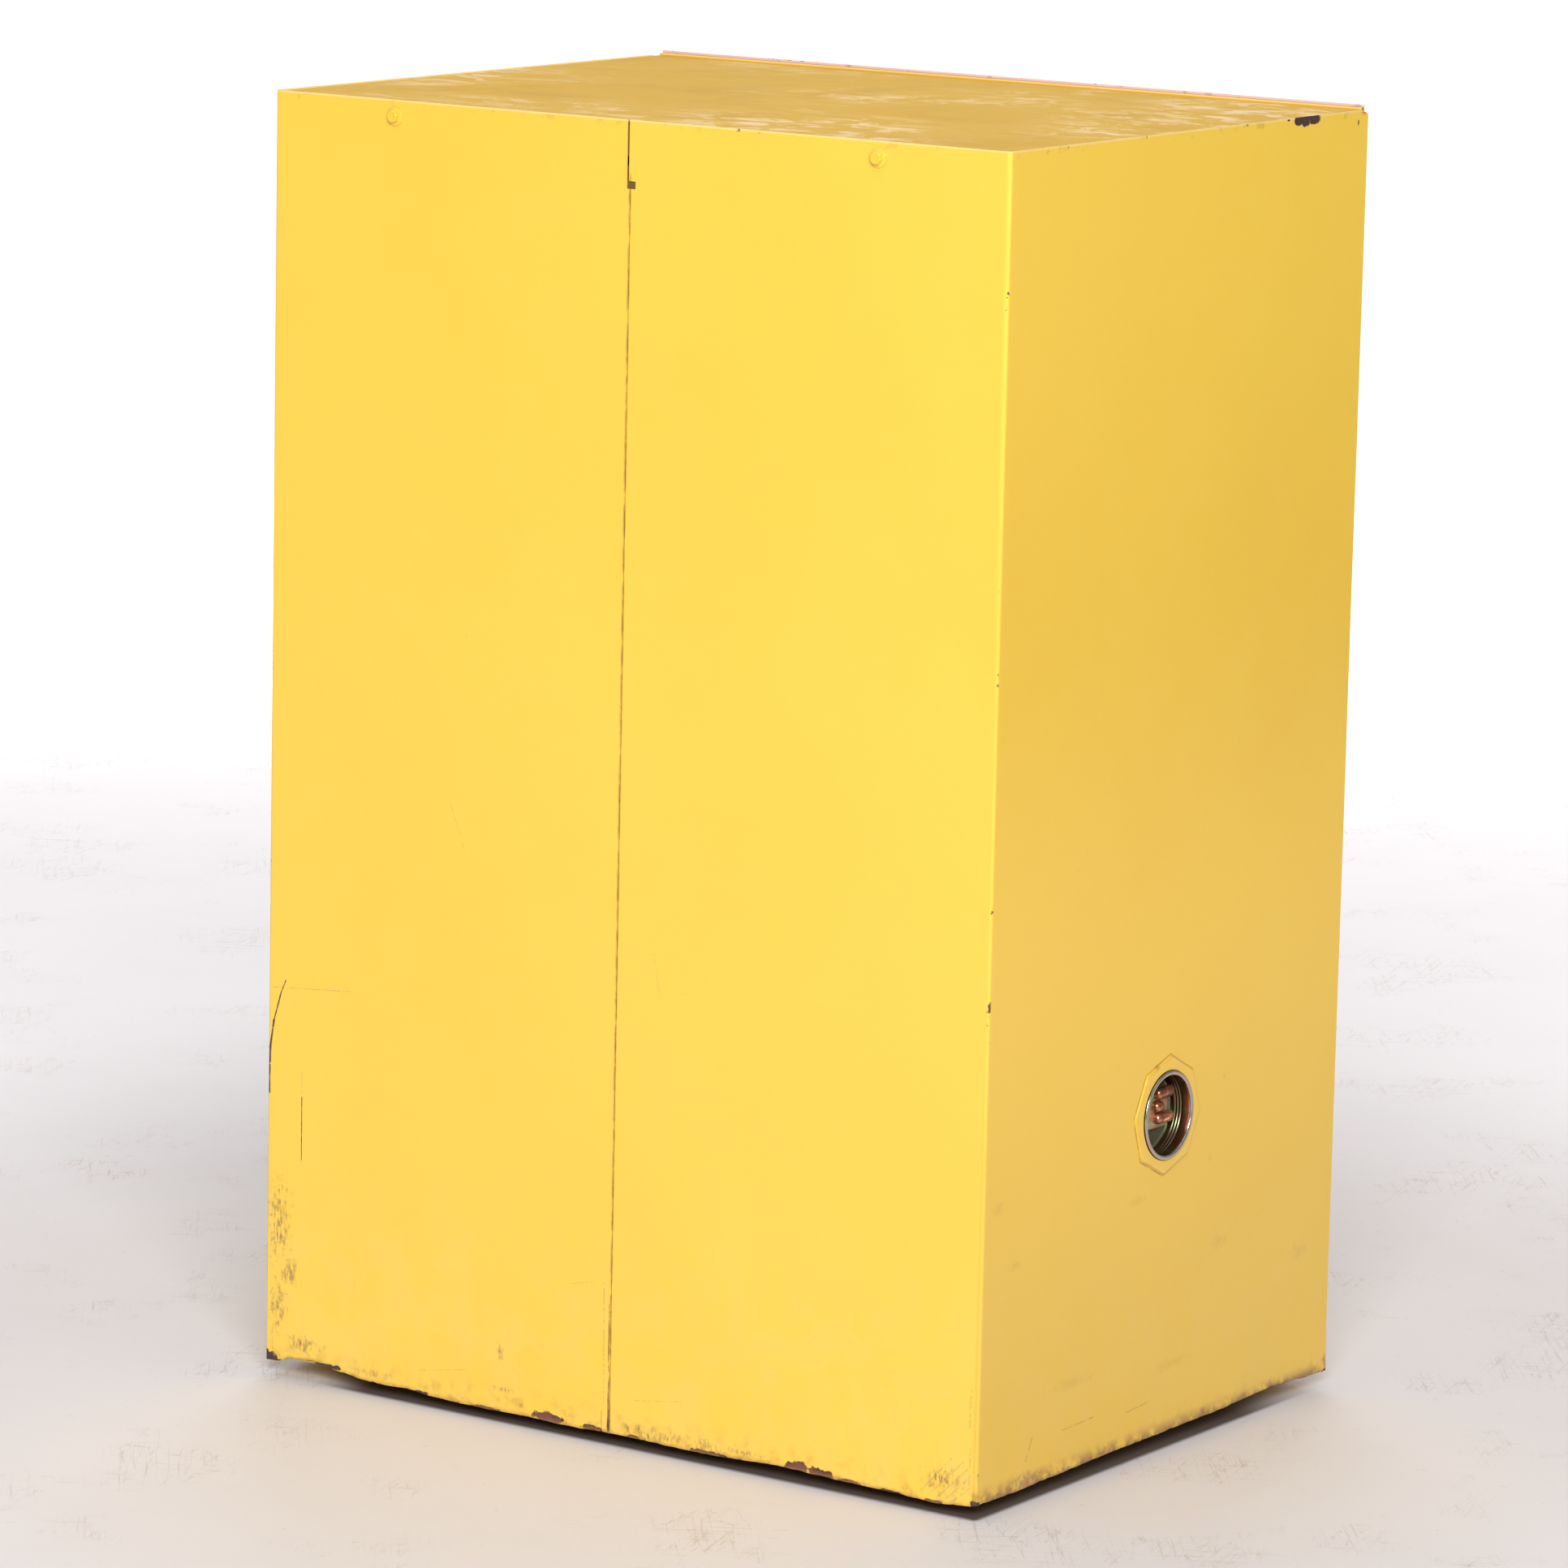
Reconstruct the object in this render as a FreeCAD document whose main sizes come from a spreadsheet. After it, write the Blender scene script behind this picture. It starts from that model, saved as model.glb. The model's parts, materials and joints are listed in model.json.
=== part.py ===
import FreeCAD, Part
import Sketcher
import math
import os
import re

# Compact flammable storage cabinet: a double-walled steel cupboard with one door.
# Frame: millimetres, +Z up, +Y towards the back, the door on the -Y side. The origin lies on
# the floor, under the middle of the whole cabinet. Rest is the door shut and unlatched.

doc = FreeCAD.newDocument("flammable_storage_cabinet")

SIZES = (
    ("shell_width", 590, "across the two side panels"),
    ("shell_depth", 440, "from the front frame to the back panel"),
    ("shell_height", 879, "from the bottom edge of the shell to its top edge"),
    ("floor_gap", 10, "from the floor to the bottom edge of the shell"),
    ("sheet_gauge", 1.2, "18 gauge steel sheet"),
    ("wall_depth", 40, "from the outer skin to the inner face of the liner"),
    ("lip_rise", 3, "lip of the front frame above the top panel"),
    ("top_drop", 0.6, "top panel below the edges of the side and back panels"),
    ("fold_height", 24, "folded edges of the top panel and the bottom pan"),
    ("fold_radius", 2, "outside of the fold at a rear corner"),
    ("corner_step", 2.5, "step down of a side panel's top edge at the front corner"),
    ("corner_step_length", 9, "length of that step"),
    ("upstand_place", 3.4, "front face to the upstand along the front of the top panel"),
    ("upstand_drop", 1.7, "top of the upstand below the top of the lip"),
    ("lip_inset", 3, "ends of the lip and the upstand from the sides"),
    ("ledge_depth", 16, "ledge of the header below the top panel"),
    ("pan_drop", 4, "bottom edge of the shell to the underside of the bottom pan"),
    ("pan_hole", 4.6, "hole in the bottom pan for a foot's stem"),
    ("seam_gap", 0.6, "back seam along most of its height"),
    ("seam_top_shift", 2, "sideways step of the back seam near the top"),
    ("seam_top_gap", 1.8, "back seam near the top"),
    ("seam_top_length", 40, "height of the wide stretch of the seam"),
    ("seam_notch", 5, "height of the notch below the wide stretch"),
    ("notch_left", 4.2, "notch, left of the middle"),
    ("notch_right", 2.8, "notch, right of the middle"),
    ("lap_left", 14, "lap behind the seam, left of the middle"),
    ("lap_right", 18, "lap behind the seam, right of the middle"),
    ("seam_foot_shift", 6.5, "sideways step of the back seam at the bottom"),
    ("seam_foot_length", 14, "height of the stepped stretch at the bottom"),
    ("handle_reach", 30, "from the front frame to the front of the handle"),
    ("screw_rise", 4, "head of a hex washer screw"),
    ("screw_hex", 4.5, "hexagon of that head, to its corners"),
    ("screw_washer", 6.5, "washer of that head"),
    ("screw_shank", 2.3, "shank of that screw"),
    ("screw_hole", 2.6, "hole that its shank passes"),
    ("ground_inset", 60, "grounding screw from the back"),
    ("ground_height", 55, "grounding screw above the bottom edge of the shell"),
    ("screw_spread", 194, "back screws from the middle"),
    ("screw_drop", 11, "back screws below the top edge"),
    ("jamb_face", 26, "visible width of a side jamb"),
    ("header_face", 32, "visible height of the header"),
    ("sump_depth", 51, "raised sill that holds a spill"),
    ("stop_rise", 8, "door stop above the sill and below the header"),
    ("door_thickness", 38, "double-walled door"),
    ("door_gap", 3, "gap round the door"),
    ("stop_gap", 2, "door to its stop"),
    ("knuckle_radius", 3.5, "knuckles of the piano hinge"),
    ("pin_radius", 1.6, "pin of the piano hinge"),
    ("knuckle_bore", 1.65, "bore of a knuckle"),
    ("leaf_gauge", 1.5, "leaves of the piano hinge"),
    ("hinge_gap", 3.6, "gap that takes both leaves"),
    ("door_flange", 14, "edges of the door's inner pan"),
    ("hat_place", 30, "stiffener of the door, left of the middle"),
    ("hat_half", 30, "half the width of its hat"),
    ("hat_foot", 16, "flanges of its hat"),
    ("handle_inset", 48, "handle spindle from the latch edge of the door"),
    ("lever_length", 105, "spindle to the middle of the lever's tip"),
    ("lever_half", 10, "half the height of the lever"),
    ("lever_back", 18, "back of the lever in front of the door"),
    ("hub_radius", 16, "hub of the lever"),
    ("padlock_place", 78, "padlock hole from the spindle"),
    ("padlock_front", 13, "padlock hole in front of the door"),
    ("padlock_hole", 4.8, "padlock hole"),
    ("barrel_radius", 8, "barrel of the lock"),
    ("plug_radius", 6, "key plug of the lock"),
    ("bush_radius", 9, "bush of the spindle"),
    ("bush_hole", 9.2, "hole for the bush"),
    ("plate_half", 22, "half the width of the escutcheon"),
    ("plate_gauge", 3, "thickness of the escutcheon and the latch plate"),
    ("plate_screw_head", 3.6, "head of an escutcheon screw"),
    ("plate_screw_shank", 2, "shank of an escutcheon screw"),
    ("plate_screw_hole", 2.2, "hole that its shank passes"),
    ("crank_radius", 13, "cam pins from the spindle"),
    ("spindle_radius", 5, "latch spindle"),
    ("shaft_bore", 5.05, "bore that the spindle turns in"),
    ("rod_radius", 3.5, "latch rods"),
    ("guide_bore", 3.57, "bore of a rod guide"),
    ("rod_layer", 17, "latch rods behind the front of the door"),
    ("rod_offset", 11.25, "latch rods to either side of the spindle"),
    ("keeper_hole", 4.5, "hole in the frame that takes a rod"),
    ("door_rod_hole", 4.2, "hole in the door's edge for a rod"),
    ("guide_place", 180, "rod guides above and below the spindle"),
    ("cam_radius", 21, "disc of the cam"),
    ("cam_pin", 3, "pins of the cam"),
    ("tongue_half", 6.5, "half the width of the cam's tongue"),
    ("tongue_reach", 62, "length of the cam's tongue"),
    ("vent_low", 222, "lower vent above the bottom edge of the shell"),
    ("vent_high", 110, "upper vent below the top edge of the shell"),
    ("vent_boss", 41, "octagonal boss round a vent, across its corners, halved"),
    ("boss_rise", 1.6, "boss above the side panel"),
    ("boss_hole", 31, "hole in the side panel inside the boss"),
    ("thread_bore", 29.3, "two inch pipe thread of the vent, inside"),
    ("neck_radius", 33, "threaded neck of the vent"),
    ("duct_radius", 34.6, "duct through the double wall"),
    ("duct_bore", 33.4, "inside of the duct"),
    ("liner_hole", 34.8, "hole in the liner for the duct"),
    ("screen_radius", 29.5, "screen of the flame arrester"),
    ("screen_hole", 2.1, "holes of the screen"),
    ("screen_pitch", 6, "circles of holes, one from the next"),
    ("plug_rim", 30.2, "outer radius of the vent plug's rim"),
    ("cup_floor", 15, "floor of the plug's cup below the side panel's face"),
    ("pad_depth", 11, "raised pad on that floor, its top below the same face"),
    ("pad_half", 12, "half the height of the pad"),
    ("pad_front", 20, "front end of the pad from the middle of the vent"),
    ("pad_back", 16, "back end of the pad from the middle of the vent"),
    ("lug_radius", 4, "rolled lugs on the pad"),
    ("lug_depth", 9.2, "middle of a lug below the side panel's face"),
    ("lug_pitch", 8.5, "one lug above the next"),
    ("lug_shift", 4, "middle lug above the middle of the vent"),
    ("lug_front", 21, "front end of the long lugs from the middle of the vent"),
    ("stub_front", 8, "front end of the middle lug from there"),
    ("stub_back", 2, "back end of the middle lug from there"),
    ("foot_inset", 50, "levelling feet from the outside of the shell"),
    ("foot_radius", 19, "pad of a levelling foot"),
    ("stem_radius", 4, "threaded stem of a levelling foot"),
    ("stem_top", 44, "top of the stem above the floor"),
    ("nut_radius", 7.5, "nuts of a levelling foot, to their corners"),
    ("nut_bore", 4.05, "thread bore of a nut on a stem"),
    ("slot_pitch", 57, "shelf heights in a standard"),
    ("slot_half", 4, "half the side of a slot"),
    ("strip_half", 9, "half the width of a standard"),
    ("strip_rise", 3, "standard in front of the liner"),
    ("clip_half", 7, "half the width of a shelf clip"),
    ("clip_gauge", 2, "thickness of a shelf clip"),
    ("clip_reach", 19, "shelf clip out from the liner"),
    ("shelf_height", 22, "folded edges of the shelf"),
    ("shelf_gap", 6.5, "end of the shelf to the liner"),
    ("shelf_return", 12, "folds under the ends of the shelf"),
    ("shelf_play", 10, "shelf to the liner at the front and the back"),
)

PLACES = {
    "half_width": "shell_width / 2",
    "back_face": "(handle_reach + shell_depth - screw_rise) / 2",
    "front_face": "back_face - shell_depth",
    "mid_depth": "back_face - shell_depth / 2",
    "shell_bottom": "floor_gap",
    "shell_top": "floor_gap + shell_height",
    "skin_x": "half_width - sheet_gauge",
    "skin_back": "back_face - sheet_gauge",
    "liner_x": "half_width - wall_depth",
    "liner_back": "back_face - wall_depth",
    "liner_top": "shell_top - wall_depth",
    "liner_floor": "shell_bottom + wall_depth",
    "sill_top": "liner_floor + sump_depth",
    "door_head": "shell_top - header_face",
    "opening_x": "half_width - jamb_face",
    "stop_face": "front_face + door_thickness + stop_gap",
    "liner_front": "stop_face + sheet_gauge",
    "pan_floor": "shell_bottom + pan_drop",
    "door_left": "hinge_gap - opening_x",
    "door_right": "opening_x - door_gap",
    "door_bottom": "sill_top + door_gap",
    "door_top": "door_head - door_gap",
    "door_back": "front_face + door_thickness",
    "hinge_x": "hinge_gap / 2 - opening_x",
    "hinge_y": "front_face - knuckle_radius - 0.5",
    "hinge_low": "door_bottom + 6",
    "hinge_high": "door_top - 6",
    "handle_x": "door_right - handle_inset",
    "handle_z": "(door_bottom + door_top) / 2",
    "rod_y": "front_face + rod_layer",
    "clip_top": "sill_top + 5.5 * slot_pitch + 20",
}

sheet = doc.addObject("Spreadsheet::Sheet", "Sizes")
size = {}
for row, (alias, value, meaning) in enumerate(SIZES, start=1):
    sheet.set(f"A{row}", meaning)
    sheet.set(f"B{row}", str(value))
    sheet.setAlias(f"B{row}", alias)
    size[alias] = value
doc.recompute()

pieces = []
WORD = re.compile(r"[a-z]+(?:_[a-z]+)*")
UPRIGHT = {
    "x": FreeCAD.Rotation(FreeCAD.Vector(0, 1, 0), 90),
    "y": FreeCAD.Rotation(FreeCAD.Vector(1, 0, 0), -90),
    "z": FreeCAD.Rotation(),
}


def expand(text):
    """Turn a length said in words into an expression on the cells of the sheet."""

    def meaning(match):
        word = match.group()
        if word in PLACES:
            return f"({expand(PLACES[word])})"
        return f"Sizes.{word}" if word in size else word

    return WORD.sub(meaning, str(text))


def bind(thing, prop, text):
    thing.setExpression(prop, expand(text))


def piece(solid, label):
    """Name a finished sub-part and keep it for writing."""
    solid.Label = label
    pieces.append(solid)
    return solid


def box(x, y, z):
    """A block between the low and high places given on each axis."""
    solid = doc.addObject("Part::Box", "block")
    for axis, side, (low, high) in zip("xyz", ("Length", "Width", "Height"), (x, y, z)):
        bind(solid, side, f"({high}) - ({low})")
        bind(solid, f"Placement.Base.{axis}", low)
    return solid


def stand(solid, axis, centre, span):
    """Run a solid along an axis, through a centre given on the other two, from low to high."""
    solid.Placement = FreeCAD.Placement(FreeCAD.Vector(), UPRIGHT[axis])
    bind(solid, "Height", f"({span[1]}) - ({span[0]})")
    others = [name for name in "xyz" if name != axis]
    for name, place in zip(others + [axis], (*centre, span[0])):
        bind(solid, f"Placement.Base.{name}", place)
    return solid


def rod(radius, axis, centre, span):
    solid = doc.addObject("Part::Cylinder", "rod")
    bind(solid, "Radius", radius)
    return stand(solid, axis, centre, span)


def prism(sides, radius, axis, centre, span, turn=0):
    """A regular prism, its radius measured to the corners, turned by some degrees."""
    solid = doc.addObject("Part::Prism", "prism")
    solid.Polygon = sides
    bind(solid, "Circumradius", radius)
    stand(solid, axis, centre, span)
    spin = FreeCAD.Rotation(FreeCAD.Vector(0, 0, 1), turn)
    solid.Placement.Rotation = UPRIGHT[axis].multiply(spin)
    return solid


def join(*solids):
    whole = doc.addObject("Part::MultiFuse", "joined")
    whole.Shapes = list(solids)
    whole.Refine = True
    return whole


def cut(base, *tools):
    rest = doc.addObject("Part::Cut", "cut")
    rest.Base = base
    rest.Tool = tools[0] if len(tools) == 1 else join(*tools)
    rest.Refine = True
    return rest


def group(solids):
    """Several like solids that stay separate."""
    together = doc.addObject("Part::Compound", "group")
    together.Links = list(solids)
    return together


def rounded(solid, radius, chosen):
    """Fillet the edges for which chosen(edge) is true."""
    doc.recompute()
    fillet = doc.addObject("Part::Fillet", "fillet")
    fillet.Base = solid
    edges = enumerate(solid.Shape.Edges, start=1)
    fillet.Edges = [(number, radius, radius) for number, edge in edges if chosen(edge)]
    return fillet


def runs_along(edge, axis):
    first, last = edge.Vertexes[0].Point, edge.Vertexes[-1].Point
    return all(abs(getattr(last - first, other)) < 1e-6 for other in "xyz" if other != axis)


def turned(label, outline, axis, centre, start, backwards=False):
    """A turned piece: outline holds (radius, distance along the axis) corners."""
    body = doc.addObject("PartDesign::Body", label)
    sketch = body.newObject("Sketcher::SketchObject", label + "_outline")
    planes = body.Origin.OriginFeatures
    sketch.AttachmentSupport = [(next(p for p in planes if p.Role == "XZ_Plane"), "")]
    sketch.MapMode = "FlatFace"
    count = len(outline)
    turn = 2 * math.pi / count
    spots = [
        FreeCAD.Vector(40 + 30 * math.cos(turn * n), 40 + 30 * math.sin(turn * n), 0)
        for n in range(count)
    ]
    for n in range(count):
        sketch.addGeometry(Part.LineSegment(spots[n], spots[(n + 1) % count]), False)
    for n in range(count):
        sketch.addConstraint(Sketcher.Constraint("Coincident", n, 2, (n + 1) % count, 1))
    for n, corner in enumerate(outline):
        for kind, place, text in zip(("DistanceX", "DistanceY"), spots[n][:2], corner):
            held = sketch.addConstraint(Sketcher.Constraint(kind, -1, 1, n, 1, place))
            sketch.renameConstraint(held, f"{kind}_{n}")
            bind(sketch, f"Constraints.{kind}_{n}", text)
    revolution = body.newObject("PartDesign::Revolution", label + "_turned")
    revolution.Profile = sketch
    revolution.ReferenceAxis = (sketch, ["V_Axis"])
    revolution.Angle = 360
    turn_back = FreeCAD.Rotation(FreeCAD.Vector(1, 0, 0), 180) if backwards else FreeCAD.Rotation()
    body.Placement = FreeCAD.Placement(FreeCAD.Vector(), UPRIGHT[axis].multiply(turn_back))
    others = [name for name in "xyz" if name != axis]
    for name, place in zip(others + [axis], (*centre, start)):
        bind(body, f"Placement.Base.{name}", place)
    return piece(body, label)


def both(text):
    """The same distance each side of the middle."""
    return f"-({text})", text


def across(side, near, far):
    """From near to far on the right (+1) or the left (-1) of the cabinet."""
    return (near, far) if side > 0 else (f"-({far})", f"-({near})")


def inward(side, near, far):
    """Depths below a side panel's outer face, as places on X."""
    return across(side, f"half_width - ({far})", f"half_width - ({near})")


# Vents: one low on the left, one high on the right, both closed by a plug.
VENTS = (
    ("lower", -1, ("mid_depth", "shell_bottom + vent_low")),
    ("upper", 1, ("mid_depth", "shell_top - vent_high")),
)
BOSS_TURN = 4.2  # degrees that the octagonal bosses are out of true
GROUND = ("back_face - ground_inset", "shell_bottom + ground_height")


def screw(axis, centre, face, outward, length):
    """A hex washer-head screw whose head stands on the plane at face."""
    def span(near, far):
        ends = (f"{face} + ({near})", f"{face} + ({far})")
        flipped = (f"{face} - ({far})", f"{face} - ({near})")
        return ends if outward > 0 else flipped

    washer = rod("screw_washer", axis, centre, span("0", "1.2"))
    head = prism(6, "screw_hex", axis, centre, span("0", "screw_rise"))
    shank = rod("screw_shank", axis, centre, span(f"-{length}", "0"))
    return join(washer, head, shank)


# ---- outer shell ---------------------------------------------------------------------------
def vent_boss(side, centre):
    """The octagonal boss pressed out of a side panel, and what is cut from behind it."""
    outside = inward(side, "-boss_rise", "sheet_gauge")
    inside = inward(side, "sheet_gauge - boss_rise", "sheet_gauge")
    raised = prism(8, "vent_boss", "x", centre, outside, BOSS_TURN)
    hollow = prism(8, "vent_boss - sheet_gauge", "x", centre, inside, BOSS_TURN)
    hole = rod("boss_hole", "x", centre, inward(side, "-boss_rise - 1", "20"))
    return raised, (hollow, hole)


def wrap_panel(label, side, centre, seam_cuts, seam_parts, holes):
    """One side and its half of the back, folded from one sheet."""
    raised, vent_cuts = vent_boss(side, centre)
    height = ("shell_bottom", "shell_top")
    wall = box(across(side, "skin_x", "half_width"), ("front_face", "back_face"), height)
    back = box(across(side, "seam_gap / 2", "half_width"), ("skin_back", "back_face"), height)
    sheet_metal = join(wall, back, raised, *seam_parts)
    corner_relief = box(
        across(side, "skin_x - 1", "half_width + 1"),
        ("front_face - 1", "front_face + corner_step_length"),
        ("shell_top - corner_step", "shell_top + 1"),
    )
    back_screw = (f"{side} * screw_spread", "shell_top - screw_drop")
    screw_hole = rod("screw_hole", "y", back_screw, ("skin_back - 1", "back_face + 1"))
    opened = cut(sheet_metal, *vent_cuts, corner_relief, screw_hole, *seam_cuts, *holes)
    edge = side * size["shell_width"] / 2
    rear = (size["handle_reach"] + size["shell_depth"] - size["screw_rise"]) / 2

    def is_outer_corner(line):
        spot = line.CenterOfMass
        near = abs(spot.x - edge) < 0.1 and abs(spot.y - rear) < 0.1
        return near and runs_along(line, "z") and line.Length > 100

    return piece(rounded(opened, size["fold_radius"], is_outer_corner), label)


SEAM_SKIN = ("skin_back", "back_face")
SEAM_CUT = ("skin_back - 0.001", "back_face + 1")
TOP_STRETCH = ("shell_top - seam_top_length", "shell_top")
FOOT_STRETCH = ("shell_bottom", "shell_bottom + seam_foot_length")


def seam_notch():
    """The small square notch where the wide stretch of the seam ends."""
    return box(
        ("-notch_left", "notch_right"),
        SEAM_CUT,
        ("shell_top - seam_top_length - seam_notch", "shell_top - seam_top_length"),
    )


def outer_panels():
    lap = box(
        ("-lap_left", "lap_right"),
        ("skin_back - sheet_gauge", "skin_back"),
        ("shell_bottom + fold_height + 6", "shell_top - fold_height - 6"),
    )
    top_step = box(("-notch_left", "seam_top_shift - seam_top_gap / 2"), SEAM_SKIN, TOP_STRETCH)
    foot_step = box(("-notch_left", "seam_foot_shift - seam_gap / 2"), SEAM_SKIN, FOOT_STRETCH)
    wrap_panel("left_wrap_panel", -1, VENTS[0][2], [seam_notch()], [lap, top_step, foot_step], [])
    top_cut = box(
        ("-1", "seam_top_shift + seam_top_gap / 2"),
        SEAM_CUT,
        ("shell_top - seam_top_length", "shell_top + 1"),
    )
    foot_cut = box(
        ("-1", "seam_foot_shift + seam_gap / 2"),
        SEAM_CUT,
        ("shell_bottom - 1", "shell_bottom + seam_foot_length"),
    )
    ground_hole = rod("screw_hole", "x", GROUND, inward(1, "-1", "sheet_gauge + 1"))
    cuts = [seam_notch(), top_cut, foot_cut]
    wrap_panel("right_wrap_panel", 1, VENTS[1][2], cuts, [], [ground_hole])


def top_panel():
    """The lid: a sheet let in between the wrap panels, with folds down and a lip at the front."""
    level = ("shell_top - top_drop - sheet_gauge", "shell_top - top_drop")
    depth = ("front_face + upstand_place", "skin_back")
    fold = ("shell_top - fold_height", "shell_top - top_drop")
    lid = box(both("skin_x"), depth, level)
    rear = box(both("skin_x"), ("skin_back - sheet_gauge", "skin_back"), fold)
    sides = [box(across(s, "skin_x - sheet_gauge", "skin_x"), depth, fold) for s in (-1, 1)]
    upstand = box(
        both("half_width - lip_inset"),
        ("front_face + upstand_place", "front_face + upstand_place + sheet_gauge"),
        ("shell_top - top_drop - sheet_gauge", "shell_top + lip_rise - upstand_drop"),
    )
    holes = [
        rod("screw_hole", "y", (f"{s} * screw_spread", "shell_top - screw_drop"),
            ("skin_back - 4", "skin_back + 1"))
        for s in (-1, 1)
    ]
    piece(cut(join(lid, rear, *sides, upstand), *holes), "top_panel")


def shell_screws():
    rear = [
        screw("y", (f"{s} * screw_spread", "shell_top - screw_drop"), "back_face", 1, "9")
        for s in (-1, 1)
    ]
    piece(group(rear), "back_screws")
    piece(screw("x", GROUND, "half_width", 1, "10"), "grounding_screw")


FEET = {
    "front_left": ("foot_inset - half_width", "front_face + foot_inset"),
    "front_right": ("half_width - foot_inset", "front_face + foot_inset"),
    "rear_left": ("foot_inset - half_width", "back_face - foot_inset"),
    "rear_right": ("half_width - foot_inset", "back_face - foot_inset"),
}


def bottom_pan():
    """The outer floor, with its edges folded up inside the wrap panels."""
    floor = box(both("skin_x"), ("front_face + sheet_gauge", "skin_back"),
                ("pan_floor", "pan_floor + sheet_gauge"))
    fold = ("pan_floor", "pan_floor + fold_height")
    ends = [
        box(both("skin_x"), ("skin_back - sheet_gauge", "skin_back"), fold),
        box(both("skin_x"), ("front_face + sheet_gauge", "front_face + 2 * sheet_gauge"), fold),
    ]
    sides = [
        box(across(s, "skin_x - sheet_gauge", "skin_x"),
            ("front_face + sheet_gauge", "skin_back"), fold)
        for s in (-1, 1)
    ]
    holes = [rod("pan_hole", "z", spot, ("pan_floor - 1", "pan_floor + 3")) for spot in FEET.values()]
    piece(cut(join(floor, *ends, *sides), *holes), "bottom_pan")


# ---- front frame ---------------------------------------------------------------------------
FACE_SHEET = ("front_face", "front_face + sheet_gauge")
STOP_SHEET = ("stop_face", "stop_face + sheet_gauge")
RETURN_DEPTH = ("front_face", "stop_face + sheet_gauge")
TOP_ROD_X = "handle_x + rod_offset"
BOTTOM_ROD_X = "handle_x - rod_offset"


def front_header():
    face = box(both("skin_x"), FACE_SHEET, ("door_head", "shell_top - corner_step"))
    lip = box(both("half_width - lip_inset"), FACE_SHEET, ("shell_top - 3", "shell_top + lip_rise"))
    underside = "shell_top - top_drop - sheet_gauge"
    ledge = box(both("skin_x"), ("front_face", "front_face + ledge_depth"),
                (f"{underside} - sheet_gauge", underside))
    head = box(both("skin_x"), RETURN_DEPTH, ("door_head", "door_head + sheet_gauge"))
    stop = box(both("liner_x"), STOP_SHEET, ("liner_top", "door_head + sheet_gauge"))
    keeper = rod("keeper_hole", "z", (TOP_ROD_X, "rod_y"), ("door_head - 1", "door_head + 3"))
    side_folds = [
        box(across(s, "skin_x - 2 * sheet_gauge - 0.2", "skin_x + 1"),
            ("front_face + upstand_place", "front_face + ledge_depth + 1"),
            (f"{underside} - 2", "shell_top"))
        for s in (-1, 1)
    ]
    piece(cut(join(face, lip, ledge, head, stop), keeper, *side_folds), "front_header")


def front_sill():
    face = box(both("skin_x"), FACE_SHEET, ("shell_bottom", "sill_top"))
    ledge = box(both("skin_x"), RETURN_DEPTH, ("sill_top - sheet_gauge", "sill_top"))
    dam = box(both("liner_x"), STOP_SHEET, ("liner_floor - sheet_gauge", "sill_top + stop_rise"))
    keeper = rod("keeper_hole", "z", (BOTTOM_ROD_X, "rod_y"), ("sill_top - 3", "sill_top + 1"))
    piece(cut(join(face, ledge, dam), keeper), "front_sill")


def jamb(label, side, *slots):
    height = ("sill_top", "door_head")
    face = box(across(side, "opening_x", "skin_x"), FACE_SHEET, height)
    reveal = box(across(side, "opening_x", "opening_x + sheet_gauge"), RETURN_DEPTH, height)
    stop = box(across(side, "liner_x", "opening_x + sheet_gauge"), STOP_SHEET, height)
    whole = join(face, reveal, stop)
    piece(cut(whole, *slots) if slots else whole, label)


TONGUE_LAYER = ("front_face + 7", "front_face + 12")


def jambs():
    jamb("hinge_jamb", -1)
    strike = box(("opening_x - 1", "opening_x + 3"), TONGUE_LAYER,
                 ("handle_z - 40", "handle_z + 9"))
    jamb("latch_jamb", 1, strike)


# ---- liner ---------------------------------------------------------------------------------
def liner():
    tall = ("liner_floor - sheet_gauge", "liner_top")
    deep = ("liner_front", "liner_back")
    for name, side, centre in (("left", -1, VENTS[0][2]), ("right", 1, VENTS[1][2])):
        wall = box(across(side, "liner_x", "liner_x + sheet_gauge"), deep, tall)
        hole = rod("liner_hole", "x", centre, inward(side, "wall_depth - 4", "wall_depth + 4"))
        piece(cut(wall, hole), f"liner_{name}_side")
    wide = both("liner_x + sheet_gauge")
    piece(box(wide, ("liner_back", "liner_back + sheet_gauge"), tall), "liner_back")
    piece(
        box(wide, ("liner_front", "liner_back + sheet_gauge"),
            ("liner_top", "liner_top + sheet_gauge")),
        "liner_top",
    )
    wall = ("liner_floor", "sill_top")
    tray = [
        box(both("liner_x"), deep, ("liner_floor - sheet_gauge", "liner_floor")),
        box(both("liner_x"), ("liner_front", "liner_front + sheet_gauge"), wall),
        box(both("liner_x"), ("liner_back - sheet_gauge", "liner_back"), wall),
        box(across(-1, "liner_x - sheet_gauge", "liner_x"), deep, wall),
        box(across(1, "liner_x - sheet_gauge", "liner_x"), deep, wall),
    ]
    piece(join(*tray), "sump_pan")


# ---- shelf ---------------------------------------------------------------------------------
STANDARD_Y = ("liner_front + 40", "liner_back - 60")
SLOT_COUNT = 12
SLOT_START = "sill_top + 22"


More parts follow.
